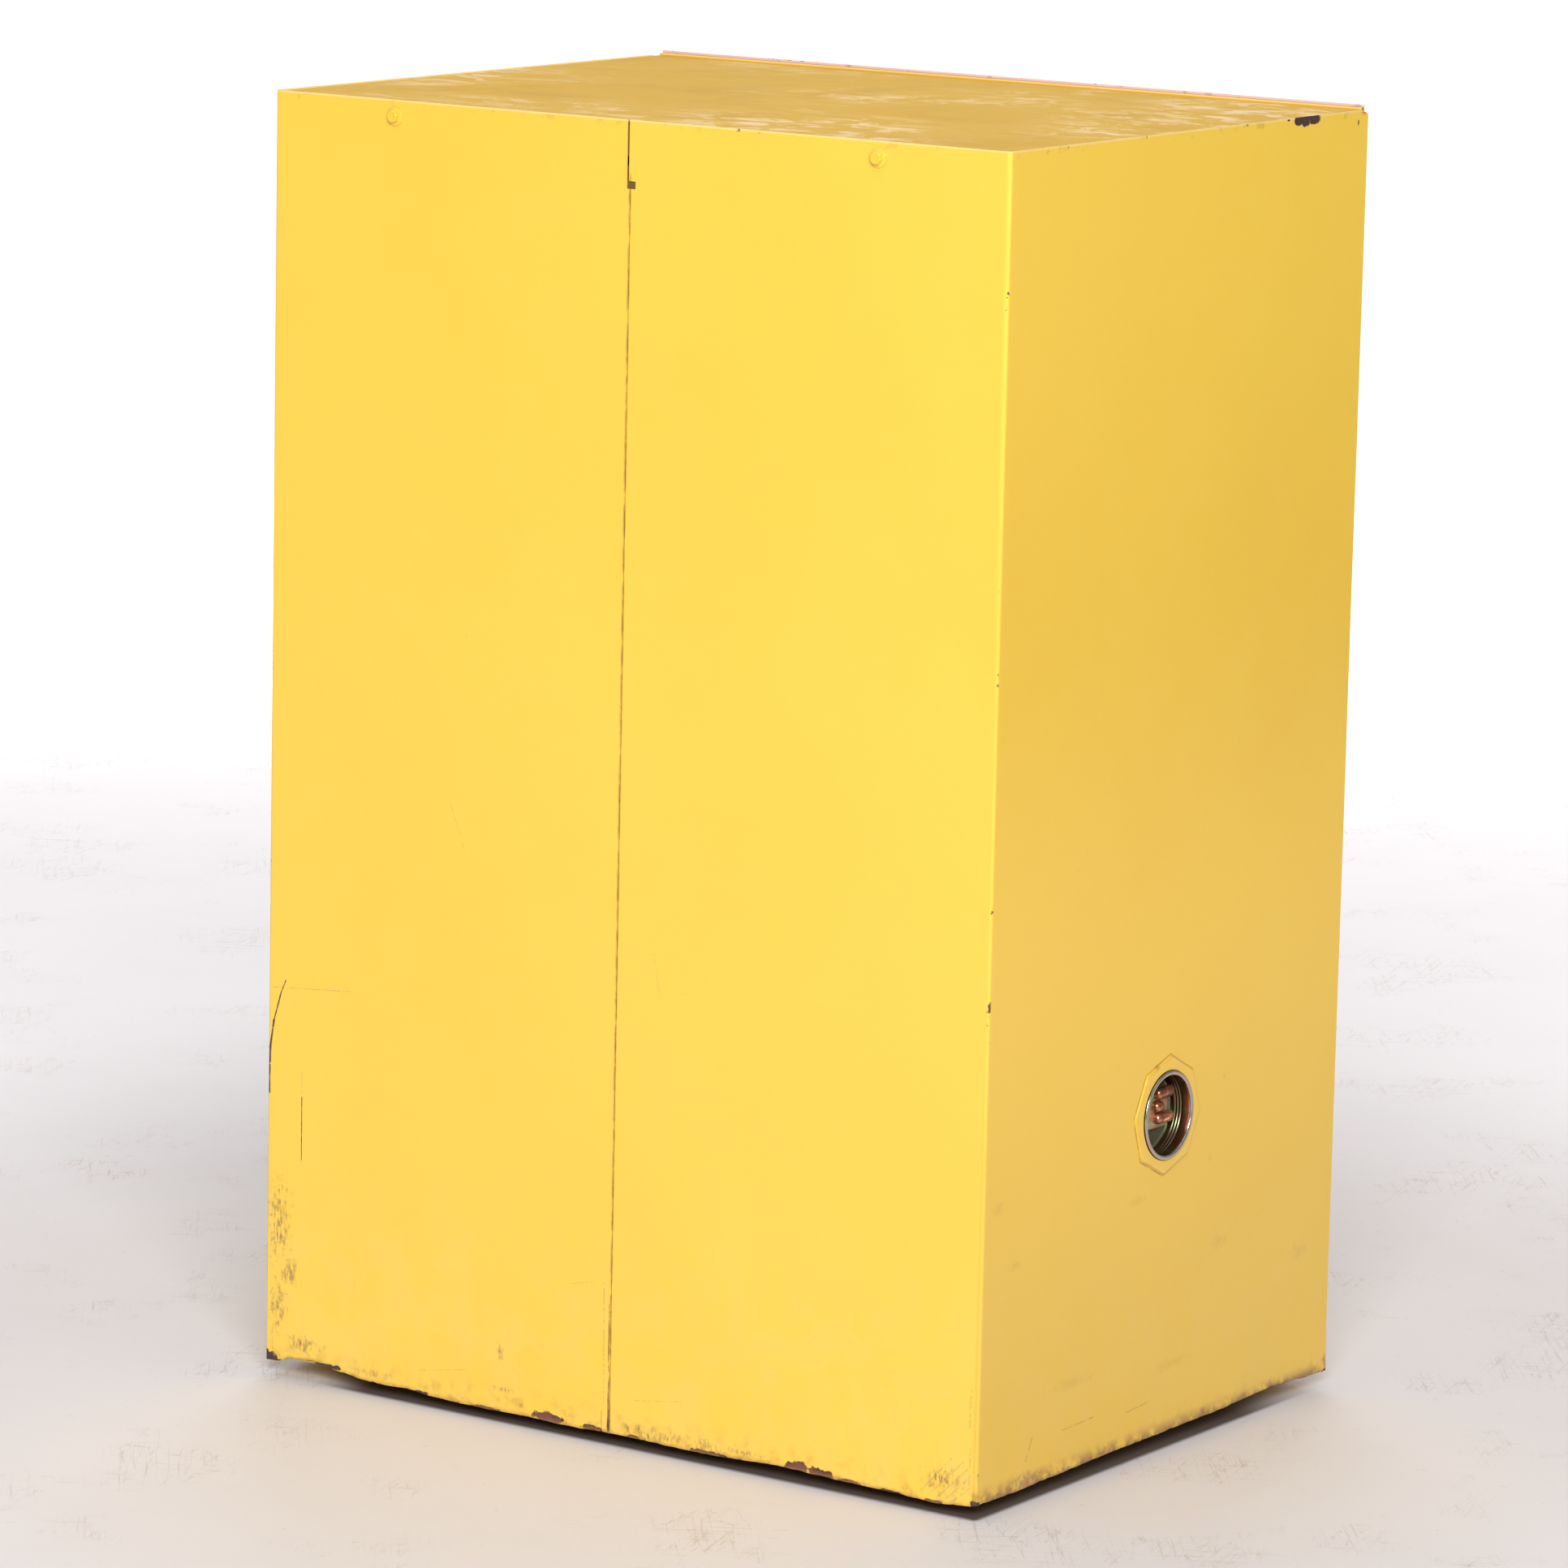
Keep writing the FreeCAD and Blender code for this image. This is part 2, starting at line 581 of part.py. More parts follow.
def shelf_standards():
    """Slotted strips up the side walls, and the clips hooked into them."""
    strips, clips = [], []
    for side in (-1, 1):
        for y in STANDARD_Y:
            strip = box(across(side, "liner_x - strip_rise", "liner_x"),
                        (f"{y} - strip_half", f"{y} + strip_half"),
                        ("sill_top + stop_rise", "liner_top - 20"))
            slots = [
                box(across(side, "liner_x - strip_rise - 1", "liner_x + 1"),
                    (f"{y} - slot_half", f"{y} + slot_half"),
                    (f"{SLOT_START} + {n} * slot_pitch - slot_half",
                     f"{SLOT_START} + {n} * slot_pitch + slot_half"))
                for n in range(SLOT_COUNT)
            ]
            strips.append(cut(strip, *slots))
            hook_z = f"{SLOT_START} + 6 * slot_pitch"
            strip_face = "liner_x - strip_rise"
            wide = (f"{y} - clip_half", f"{y} + clip_half")
            clips.append(join(
                box(across(side, f"{strip_face} - clip_gauge", strip_face), wide,
                    ("clip_top - clip_gauge", f"{hook_z} + 6")),
                box(across(side, "liner_x - clip_reach", strip_face), wide,
                    ("clip_top - clip_gauge", "clip_top")),
                box(across(side, f"{strip_face} - clip_gauge", "liner_x - 0.5"),
                    (f"{y} - slot_half + 0.5", f"{y} + slot_half - 0.5"),
                    (f"{hook_z} - slot_half + 0.5", f"{hook_z} + slot_half - 0.5")),
            ))
    piece(group(strips), "shelf_standards")
    piece(group(clips), "shelf_clips")


def shelf():
    """A folded tray, open below, that lies on four clips."""
    edge = "liner_x - shelf_gap"
    front, rear = "liner_front + shelf_play", "liner_back - shelf_play"
    high = "clip_top + shelf_height"
    drop = ("clip_top", high)
    deck = box(both(edge), (front, rear), (f"{high} - sheet_gauge", high))
    folds = [
        box(both(edge), (front, f"{front} + sheet_gauge"), drop),
        box(both(edge), (f"{rear} - sheet_gauge", rear), drop),
    ]
    for side in (-1, 1):
        folds.append(box(across(side, f"{edge} - sheet_gauge", edge), (front, rear), drop))
        folds.append(box(across(side, f"{edge} - shelf_return", edge), (front, rear),
                         ("clip_top", "clip_top + sheet_gauge")))
    piece(join(deck, *folds), "shelf")


# ---- hinge ---------------------------------------------------------------------------------
KNUCKLES = 19


def piano_hinge():
    pitch = f"((hinge_high) - (hinge_low)) / {KNUCKLES}"
    hinge_axis = ("hinge_x", "hinge_y")
    bore = rod("knuckle_bore", "z", hinge_axis, ("hinge_low - 2", "hinge_high + 2"))
    leaves = (
        ("frame_hinge_leaf", ("-opening_x", "leaf_gauge - opening_x"), 0),
        ("door_hinge_leaf", ("door_left - leaf_gauge", "door_left"), 1),
    )
    for label, thick, first in leaves:
        plate = box(thick, ("hinge_y + 4.2", "hinge_y + 30"), ("hinge_low", "hinge_high"))
        knuckles = []
        for n in range(first, KNUCKLES, 2):
            span = (f"hinge_low + {n} * {pitch} + 0.2", f"hinge_low + {n + 1} * {pitch} - 0.2")
            knuckles.append(rod("knuckle_radius", "z", hinge_axis, span))
            knuckles.append(box(thick, ("hinge_y + 2.2", "hinge_y + 4.2"), span))
        piece(cut(join(plate, *knuckles), bore), label)
    piece(rod("pin_radius", "z", hinge_axis, ("hinge_low - 1", "hinge_high + 1")), "hinge_pin")


# ---- door ----------------------------------------------------------------------------------
DOOR_X = ("door_left", "door_right")
DOOR_Z = ("door_bottom", "door_top")
HANDLE_AXIS = ("handle_x", "handle_z")
PLATE_SCREWS = ("handle_z + 24", "handle_z - 52")


def door_shell():
    depth = ("front_face", "door_back")
    skin = join(
        box(DOOR_X, FACE_SHEET, DOOR_Z),
        box(("door_left", "door_left + sheet_gauge"), depth, DOOR_Z),
        box(("door_right - sheet_gauge", "door_right"), depth, DOOR_Z),
        box(DOOR_X, depth, ("door_bottom", "door_bottom + sheet_gauge")),
        box(DOOR_X, depth, ("door_top - sheet_gauge", "door_top")),
    )
    cuts = [
        rod("bush_hole", "y", HANDLE_AXIS, ("front_face - 1", "front_face + 3")),
        rod("door_rod_hole", "z", (TOP_ROD_X, "rod_y"), ("door_top - 3", "door_top + 1")),
        rod("door_rod_hole", "z", (BOTTOM_ROD_X, "rod_y"), ("door_bottom - 1", "door_bottom + 3")),
        box(("door_right - 3", "door_right + 1"), TONGUE_LAYER, ("handle_z - 45", "handle_z + 9")),
    ]
    cuts += [rod("plate_screw_hole", "y", ("handle_x", z), ("front_face - 1", "front_face + 3"))
             for z in PLATE_SCREWS]
    piece(cut(skin, *cuts), "door_outer_skin")
    inside_x = ("door_left + sheet_gauge", "door_right - sheet_gauge")
    inside_z = ("door_bottom + sheet_gauge", "door_top - sheet_gauge")
    fold = ("door_back - door_flange", "door_back")
    inner = join(
        box(inside_x, ("door_back - sheet_gauge", "door_back"), inside_z),
        box(("door_left + sheet_gauge", "door_left + 2 * sheet_gauge"), fold, inside_z),
        box(("door_right - 2 * sheet_gauge", "door_right - sheet_gauge"), fold, inside_z),
        box(inside_x, fold, ("door_bottom + sheet_gauge", "door_bottom + 2 * sheet_gauge")),
        box(inside_x, fold, ("door_top - 2 * sheet_gauge", "door_top - sheet_gauge")),
    )
    piece(inner, "door_inner_pan")


def door_stiffener():
    """A hat channel up the middle of the door, welded to the inside of its skin."""
    height = ("door_bottom + 30", "door_top - 30")
    crown = ("door_back - 3 * sheet_gauge", "door_back - 2 * sheet_gauge")
    wall = ("front_face + sheet_gauge", "door_back - 2 * sheet_gauge")
    foot = ("front_face + sheet_gauge", "front_face + 2 * sheet_gauge")
    left, right = "-hat_place - hat_half", "hat_half - hat_place"
    piece(
        join(
            box((left, right), crown, height),
            box((left, f"{left} + sheet_gauge"), wall, height),
            box((f"{right} - sheet_gauge", right), wall, height),
            box((f"{left} - hat_foot", f"{left} + sheet_gauge"), foot, height),
            box((f"{right} - sheet_gauge", f"{right} + hat_foot"), foot, height),
        ),
        "door_stiffener",
    )


def plate_screw_holes(span):
    return [rod("plate_screw_hole", "y", ("handle_x", z), span) for z in PLATE_SCREWS]


def latch_housing():
    """What the latch turns and slides in: plate, bush and rod guides."""
    behind = ("front_face", "front_face + 6")
    plate = box(("handle_x - 30", "handle_x + 30"),
                ("front_face + sheet_gauge", "front_face + sheet_gauge + plate_gauge"),
                ("handle_z - 62", "handle_z + 40"))
    bush_hole = rod("bush_hole", "y", HANDLE_AXIS, behind)
    piece(cut(plate, bush_hole, *plate_screw_holes(behind)), "latch_plate")

    tube = rod("bush_radius", "y", HANDLE_AXIS, ("front_face - 4", "front_face + 7.5"))
    bore = rod("shaft_bore", "y", HANDLE_AXIS, ("front_face - 5", "front_face + 9"))
    piece(cut(tube, bore), "spindle_bush")

    guides = []
    for x, z in ((TOP_ROD_X, "handle_z + guide_place"), (BOTTOM_ROD_X, "handle_z - guide_place")):
        block = box((f"{x} - 8", f"{x} + 8"), ("front_face + sheet_gauge", "front_face + 25"),
                    (f"{z} - 6", f"{z} + 6"))
        guides.append(cut(block, rod("guide_bore", "z", (x, "rod_y"), (f"{z} - 7", f"{z} + 7"))))
    piece(group(guides), "rod_guides")


def escutcheon():
    """The plate behind the handle, with a staple for a padlock, and its two screws."""
    front_of_door = (size["handle_reach"] - size["shell_depth"] - size["screw_rise"]) / 2
    front_of_plate = front_of_door - size["plate_gauge"]
    front_of_staple = front_of_door - 22
    base = box(("handle_x - plate_half", "handle_x + plate_half"),
               ("front_face - plate_gauge", "front_face"), ("handle_z - 96", "handle_z + 34"))

    def is_corner(edge):
        return runs_along(edge, "y")

    def is_rim(edge):
        flat = edge.BoundBox.YLength < 0.01
        return flat and abs(edge.BoundBox.YMin - front_of_plate) < 0.01

    def is_nose(edge):
        return runs_along(edge, "x") and abs(edge.CenterOfMass.y - front_of_staple) < 0.01

    base = rounded(rounded(base, 6.0, is_corner), 1.2, is_rim)
    staple = box(("handle_x + 12", "handle_x + 15"), ("front_face - 22", "front_face - 2"),
                 ("handle_z - padlock_place - 12", "handle_z - padlock_place + 12"))
    staple = rounded(staple, 7.0, is_nose)
    through = ("front_face - 4", "front_face + 1")
    holes = [
        rod("bush_hole", "y", HANDLE_AXIS, through),
        rod("padlock_hole", "x", ("front_face - padlock_front", "handle_z - padlock_place"),
            ("handle_x + 11", "handle_x + 16")),
    ]
    piece(cut(join(base, staple), *holes, *plate_screw_holes(through)), "escutcheon")

    screws = []
    for z in PLATE_SCREWS:
        spot = ("handle_x", z)
        head = rod("plate_screw_head", "y", spot,
                   ("front_face - plate_gauge - 1.8", "front_face - plate_gauge"))
        shank = rod("plate_screw_shank", "y", spot,
                    ("front_face - plate_gauge", "front_face + 5"))
        recess = [
            box((f"handle_x - {a}", f"handle_x + {a}"), ("front_face - 5", "front_face - 4"),
                (f"{z} - {b}", f"{z} + {b}"))
            for a, b in ((2.2, 0.45), (0.45, 2.2))
        ]
        screws.append(cut(join(head, shank), *recess))
    piece(group(screws), "escutcheon_screws")


# ---- latch ---------------------------------------------------------------------------------
def handle():
    """Rest is unlatched, with the lever level and pointing at the hinge."""
    reach = ("front_face - handle_reach", "front_face - lever_back")
    hub = rod("hub_radius", "y", HANDLE_AXIS, ("front_face - handle_reach", "front_face - 5"))
    arm = box(("handle_x - lever_length", "handle_x"), reach,
              ("handle_z - lever_half", "handle_z + lever_half"))
    tip = rod("lever_half", "y", ("handle_x - lever_length", "handle_z"), reach)
    lug = box(("handle_x - padlock_place - 14", "handle_x - padlock_place + 14"),
              ("front_face - lever_back - 1", "front_face - 5.6"),
              ("handle_z - 3", "handle_z + 3"))
    front_of_lever = -(size["handle_reach"] + size["shell_depth"] + size["screw_rise"]) / 2

    def is_front_rim(edge):
        flat = edge.BoundBox.YLength < 0.01
        return flat and abs(edge.BoundBox.YMin - front_of_lever) < 0.01

    lever = rounded(join(hub, arm, tip, lug), 3.0, is_front_rim)
    barrel_span = ("front_face - handle_reach", "front_face - 14")
    holes = [
        rod("shaft_bore", "y", HANDLE_AXIS, ("front_face - 11", "front_face - 4")),
        rod("barrel_radius + 0.1", "y", HANDLE_AXIS,
            ("front_face - handle_reach - 1", "front_face - 14")),
        rod("padlock_hole", "z", ("handle_x - padlock_place", "front_face - padlock_front"),
            ("handle_z - 5", "handle_z + 5")),
    ]
    piece(cut(lever, *holes), "handle_lever")
    piece(rod("spindle_radius", "y", HANDLE_AXIS, ("front_face - 11", "front_face + 11")), "spindle")

    barrel = rod("barrel_radius", "y", HANDLE_AXIS, barrel_span)
    chamber = rod("plug_radius + 0.05", "y", HANDLE_AXIS,
                  ("front_face - handle_reach - 1", "front_face - 15"))
    piece(cut(barrel, chamber), "lock_barrel")
    plug = rod("plug_radius", "y", HANDLE_AXIS, ("front_face - handle_reach", "front_face - 15.2"))
    keyway = box(("handle_x - 0.8", "handle_x + 0.8"),
                 ("front_face - handle_reach - 1", "front_face - 19"),
                 ("handle_z - 3.6", "handle_z + 3.6"))
    piece(cut(plug, keyway), "lock_plug")


def latch_works():
    """Cam on the spindle, with a tongue for the jamb and a pin in the yoke of each rod."""
    throw = size["crank_radius"] * math.sqrt(0.5)
    cam_layer = ("front_face + 8", "front_face + 11")
    disc = rod("cam_radius", "y", HANDLE_AXIS, cam_layer)
    tongue = box(("handle_x - tongue_half", "handle_x + tongue_half"), cam_layer,
                 ("handle_z - tongue_reach", "handle_z"))
    pins = [
        rod("cam_pin", "y", (f"handle_x + {s * throw:.4f}", f"handle_z - {s * throw:.4f}"),
            ("front_face + 8", "front_face + 20"))
        for s in (1, -1)
    ]
    hole = rod("shaft_bore", "y", HANDLE_AXIS, ("front_face + 7", "front_face + 12"))
    piece(cut(join(disc, tongue, *pins), hole), "latch_cam")

    flat = ("rod_y - 1.5", "rod_y + 1.5")
    for label, up in (("top_rod", 1), ("bottom_rod", -1)):
        def place(low, high):
            ends = (low, high) if up > 0 else (-high, -low)
            return [f"handle_x + {end}" for end in ends]

        def level(low, high):
            ends = (low, high) if up > 0 else (-high, -low)
            return [f"handle_z + {end}" for end in ends]

        yoke = box(place(2.5, 20), flat, level(-17, 32))
        slot = box(place(5.6, 16.6), ("rod_y - 3", "rod_y + 3"),
                   level(round(-throw - 3.6, 4), round(-throw + 3.6, 4)))
        x = TOP_ROD_X if up > 0 else BOTTOM_ROD_X
        span = ("handle_z + 28", "door_top - 2") if up > 0 else ("door_bottom + 2", "handle_z - 28")
        bar = rod("rod_radius", "z", (x, "rod_y"), span)
        piece(cut(join(yoke, bar), slot), label)


# ---- vents ---------------------------------------------------------------------------------
def plug_outline():
    """A pressed cup with a rim and three rolled threads, as (radius, depth) corners."""
    outer, inner, crest, pitch = 28.4, 27.2, 0.55, 2.2
    starts = [7.0 + pitch * n for n in range(3)]
    outline = [("plug_rim", 0), ("plug_rim", 1.2), (outer, 1.2)]
    for start in starts:
        outline += [(outer, start), (outer + crest, start + 0.6),
                    (outer + crest, start + 1.3), (outer, start + 1.9)]
    outline += [(outer, 17.6), (outer - 1.4, 19), (0, 19), (0, 17.8), (inner - 1.2, 17.8),
                (inner, 16.6)]
    for start in reversed(starts):
        outline += [(inner, start + 1.9), (inner + crest, start + 1.3),
                    (inner + crest, start + 0.6), (inner, start)]
    return outline + [(inner, 1.4), (inner + 0.9, 0)]


def vent(name, side, centre):
    mouth = f"{side} * (half_width + boss_rise + 1.2)"
    base_span = inward(side, "sheet_gauge - boss_rise", "1.6")
    base = prism(8, "vent_boss - 1.8", "x", centre, base_span, BOSS_TURN)
    neck = rod("neck_radius", "x", centre, inward(side, "0", "16"))
    thread = rod("thread_bore", "x", centre, inward(side, "-2", "18"))
    piece(cut(join(base, neck), thread), f"{name}_vent_flange")

    duct = rod("duct_radius", "x", centre, inward(side, "1.6", "wall_depth + 1"))
    inside = rod("duct_bore", "x", centre, inward(side, "1", "wall_depth + 2"))
    piece(cut(duct, inside), f"{name}_vent_sleeve")

    ring = cut(rod("neck_radius", "x", centre, inward(side, "30", "38")),
               rod("29", "x", centre, inward(side, "29", "39")))
    screen = rod("screen_radius", "x", centre, inward(side, "33", "34.5"))
    holes = [rod("screen_hole", "x", centre, inward(side, "32", "36"))]
    for circle in range(1, 5):
        for n in range(6 * circle):
            angle = 2 * math.pi * n / (6 * circle)
            reach = circle * size["screen_pitch"]
            y, z = reach * math.cos(angle), reach * math.sin(angle)
            spot = (f"{centre[0]} + {y:.4f}", f"{centre[1]} + {z:.4f}")
            holes.append(rod("screen_hole", "x", spot, inward(side, "32", "36")))
    piece(cut(join(ring, screen), *holes), f"{name}_flame_arrester")

    turned(f"{name}_vent_plug", plug_outline(), "x", centre, mouth, backwards=side > 0)
    washer = [(28.8, 0), (30.4, 0), (30.4, 1.2), (28.8, 1.2)]
    seat = f"{side} * (half_width + boss_rise)"
    turned(f"{name}_plug_gasket", washer, "x", centre, seat, backwards=side > 0)

    y, z = centre
    pad = box(
        inward(side, "pad_depth", "cup_floor"),
        (f"{y} - pad_front", f"{y} + pad_back"),
        (f"{z} - pad_half", f"{z} + pad_half"),
    )
    lug_x = inward(side, "lug_depth", "lug_depth")[0]
    stub = rod("lug_radius", "y", (lug_x, f"{z} + lug_shift"), (f"{y} - stub_front", f"{y} + stub_back"))
    bars = [
        rod("lug_radius", "y", (lug_x, f"{z} + lug_shift {sign} lug_pitch"), (f"{y} - lug_front", y))
        for sign in "+-"
    ]
    piece(join(pad, stub, *bars), f"{name}_plug_lugs")


# ---- feet ----------------------------------------------------------------------------------
def feet():
    for name, spot in FEET.items():
        outline = [(0, 0), ("foot_radius - 1", 0), ("foot_radius", 1.5), ("foot_radius", 4.5),
                   (9, 7), ("stem_radius", 7), ("stem_radius", "stem_top - 1"),
                   ("stem_radius - 1", "stem_top"), (0, "stem_top")]
        turned(f"foot_{name}", outline, "z", spot, 0)
        nut = prism(6, "nut_radius", "z", spot, ("7.4", "pan_floor"))
        piece(cut(nut, rod("nut_bore", "z", spot, ("7", "pan_floor + 1"))), f"lock_nut_{name}")
    welded = []
    for spot in FEET.values():
        nut = prism(6, "nut_radius", "z", spot, ("pan_floor + sheet_gauge", "pan_floor + 8"))
        welded.append(cut(nut, rod("nut_bore", "z", spot, ("pan_floor", "pan_floor + 9"))))
    piece(group(welded), "foot_weld_nuts")


outer_panels()
top_panel()
bottom_pan()
shell_screws()
front_header()
front_sill()
jambs()
liner()
shelf_standards()
shelf()
piano_hinge()
door_shell()
door_stiffener()
latch_housing()
escutcheon()
handle()
latch_works()
for vent_name, vent_side, vent_centre in VENTS:
    vent(vent_name, vent_side, vent_centre)
feet()
doc.recompute()

faults = [item.Label for item in doc.Objects if {"Invalid", "Error"} & set(item.State)]
faults += [item.Label for item in pieces if item.Shape.isNull() or not item.Shape.isValid()]
if faults:
    raise SystemExit("these failed: " + ", ".join(faults))

os.makedirs("parts", exist_ok=True)
for item in pieces:
    item.Shape.exportStep(f"parts/{item.Label}.step")
    print(f"{item.Label}: {len(item.Shape.Solids)} solid(s), {item.Shape.Volume / 1000:.1f} cm3")
print(len(pieces), "nodes")
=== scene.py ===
import json
import math
import bmesh
import bpy
from mathutils import Matrix, Vector, noise


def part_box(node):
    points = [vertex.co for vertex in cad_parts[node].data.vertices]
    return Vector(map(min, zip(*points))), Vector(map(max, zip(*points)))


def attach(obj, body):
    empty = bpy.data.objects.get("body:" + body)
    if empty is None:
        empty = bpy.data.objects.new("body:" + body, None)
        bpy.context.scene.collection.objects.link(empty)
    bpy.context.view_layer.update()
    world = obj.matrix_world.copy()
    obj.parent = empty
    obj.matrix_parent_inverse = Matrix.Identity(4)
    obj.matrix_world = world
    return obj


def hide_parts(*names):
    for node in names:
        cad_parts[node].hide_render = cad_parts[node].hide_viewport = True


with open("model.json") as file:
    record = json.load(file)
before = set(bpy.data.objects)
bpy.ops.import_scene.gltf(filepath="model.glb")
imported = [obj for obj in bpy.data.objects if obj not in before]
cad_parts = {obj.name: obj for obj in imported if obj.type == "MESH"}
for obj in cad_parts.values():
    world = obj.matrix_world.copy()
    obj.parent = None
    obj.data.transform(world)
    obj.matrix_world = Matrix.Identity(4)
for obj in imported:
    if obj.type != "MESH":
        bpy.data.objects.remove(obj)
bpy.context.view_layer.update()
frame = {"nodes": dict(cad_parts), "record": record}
record = frame["record"]
MM = 0.001
GAUGE = 1.2 * MM


def middle(node):
    low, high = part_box(node)
    return (low + high) / 2


# ---- places, from the frame ----
shell_low, shell_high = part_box("left_wrap_panel")
BOTTOM, TOP, BACK = shell_low.z, shell_high.z, shell_high.y
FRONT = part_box("front_sill")[0].y
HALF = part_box("top_panel")[1].x + GAUGE
MID_Y = (FRONT + BACK) / 2
VENTS = {"lower": (-1, middle("lower_vent_plug")), "upper": (1, middle("upper_vent_plug"))}
BOSS_RADIUS, BOSS_TURN = 41.2, math.radians(4.2)
BOSS_APOTHEM = BOSS_RADIUS * math.cos(math.pi / 8)


# ---- shader graphs ----
class Graph:
    """A material's node tree, with short calls for the nodes used here."""

    def __init__(self, name):
        self.material = bpy.data.materials.new(name)
        self.material.use_nodes = True
        self.tree = self.material.node_tree
        self.tree.nodes.clear()
        self.output = self.tree.nodes.new("ShaderNodeOutputMaterial")
        self.shader = self.tree.nodes.new("ShaderNodeBsdfPrincipled")
        self.tree.links.new(self.shader.outputs[0], self.output.inputs[0])
        coords = self.tree.nodes.new("ShaderNodeTexCoord")
        self.place = coords.outputs["Object"]
        self.normal = coords.outputs["Normal"]

    def feed(self, socket, value):
        if isinstance(value, bpy.types.NodeSocket):
            self.tree.links.new(value, socket)
        elif isinstance(value, (tuple, list)) and len(value) == 3 and socket.type == "RGBA":
            socket.default_value = (*value, 1)
        else:
            socket.default_value = value

    def node(self, kind, inputs=(), out=0, **settings):
        made = self.tree.nodes.new(kind)
        for key, value in settings.items():
            setattr(made, key, value)
        for key, value in dict(inputs).items():
            self.feed(made.inputs[key], value)
        return made.outputs[out]

    def math(self, operation, *values):
        return self.node("ShaderNodeMath", enumerate(values), operation=operation)

    def add(self, a, b):
        return self.math("ADD", a, b)

    def times(self, a, b):
        return self.math("MULTIPLY", a, b)

    def less(self, a, b):
        return self.math("SUBTRACT", a, b)

    def size(self, a):
        return self.math("ABSOLUTE", a)

    def invert(self, a):
        return self.less(1.0, a)

    def most(self, *values):
        whole = values[0]
        for value in values[1:]:
            whole = self.math("MAXIMUM", whole, value)
        return whole

    def noise(self, scale, detail=3.0, rough=0.55, where=None, distortion=0.0):
        inputs = {"Vector": where or self.place, "Scale": scale, "Detail": detail,
                  "Roughness": rough, "Distortion": distortion}
        return self.node("ShaderNodeTexNoise", inputs)

    def stretched(self, scale, turn=(0, 0, 0)):
        inputs = {"Vector": self.place, "Scale": scale, "Rotation": turn}
        return self.node("ShaderNodeMapping", inputs)

    def step(self, value, low, high):
        """0 below low and 1 above high, or the other way round if high is below low."""
        inputs = {"Value": value, "From Min": low, "From Max": high}
        return self.node("ShaderNodeMapRange", inputs, interpolation_type="SMOOTHSTEP")

    def mix(self, factor, a, b):
        made = self.tree.nodes.new("ShaderNodeMix")
        made.data_type = "RGBA"
        for index, value in ((0, factor), (6, a), (7, b)):
            self.feed(made.inputs[index], value)
        return made.outputs[2]

    def over(self, colour, mask, strength, tint):
        """A colour with a tint laid over it where the mask is 1."""
        return self.mix(self.times(mask, strength), colour, tint)

    def axes(self, vector=None):
        made = self.tree.nodes.new("ShaderNodeSeparateXYZ")
        self.tree.links.new(vector or self.place, made.inputs[0])
        return made.outputs

    def worn_edge(self):
        """1 on the bevelled edges that the pieces carry as an attribute."""
        return self.node("ShaderNodeAttribute", out="Fac", attribute_name="edge")

    def bump(self, height, strength, distance, under=None):
        inputs = {"Height": height, "Strength": strength, "Distance": distance}
        if under is not None:
            inputs["Normal"] = under
        return self.node("ShaderNodeBump", inputs)

    def finish(self, **sockets):
        for name, value in sockets.items():
            self.feed(self.shader.inputs[name.replace("_", " ")], value)
        return self.material


class Group:
    """A node group with short calls for vector and number steps."""

    def __init__(self, name, vectors, numbers):
        self.tree = bpy.data.node_groups.new(name, "ShaderNodeTree")
        for names, kind in ((vectors, "Vector"), (numbers, "Float")):
            for label in names:
                self.tree.interface.new_socket(label, in_out="INPUT", socket_type=f"NodeSocket{kind}")
        self.tree.interface.new_socket("Mark", in_out="OUTPUT", socket_type="NodeSocketFloat")
        self.given = self.tree.nodes.new("NodeGroupInput").outputs
        self.sink = self.tree.nodes.new("NodeGroupOutput").inputs[0]

    def step(self, kind, operation, *values, out=0):
        made = self.tree.nodes.new(kind)
        made.operation = operation
        for index, value in enumerate(values):
            if isinstance(value, float):
                made.inputs[index].default_value = value
            else:
                self.tree.links.new(value, made.inputs[index])
        return made.outputs[out]

    def vector(self, operation, *values, out=0):
        return self.step("ShaderNodeVectorMath", operation, *values, out=out)

    def number(self, operation, *values):
        return self.step("ShaderNodeMath", operation, *values)

    def fade(self, value, start, end):
        ramp = self.tree.nodes.new("ShaderNodeMapRange")
        for socket, given in (("Value", value), ("From Min", start), ("From Max", end)):
            if isinstance(given, float):
                ramp.inputs[socket].default_value = given
            else:
                self.tree.links.new(given, ramp.inputs[socket])
        self.tree.links.new(ramp.outputs[0], self.sink)
        return self.tree


def patch_group():
    """1 inside an ellipse whose outline is roughened by a grain."""
    g = Group("ragged_patch", ("Place", "Centre", "Radii"), ("Grain", "Rough", "Soft"))
    away = g.vector("DIVIDE", g.vector("SUBTRACT", g.given["Place"], g.given["Centre"]), g.given["Radii"])
    swing = g.number("MULTIPLY", g.given["Grain"], g.given["Rough"])
    reach = g.number("ADD", g.vector("LENGTH", away, out=1), swing)
    return g.fade(reach, 1.0, g.number("SUBTRACT", 1.0, g.given["Soft"]))


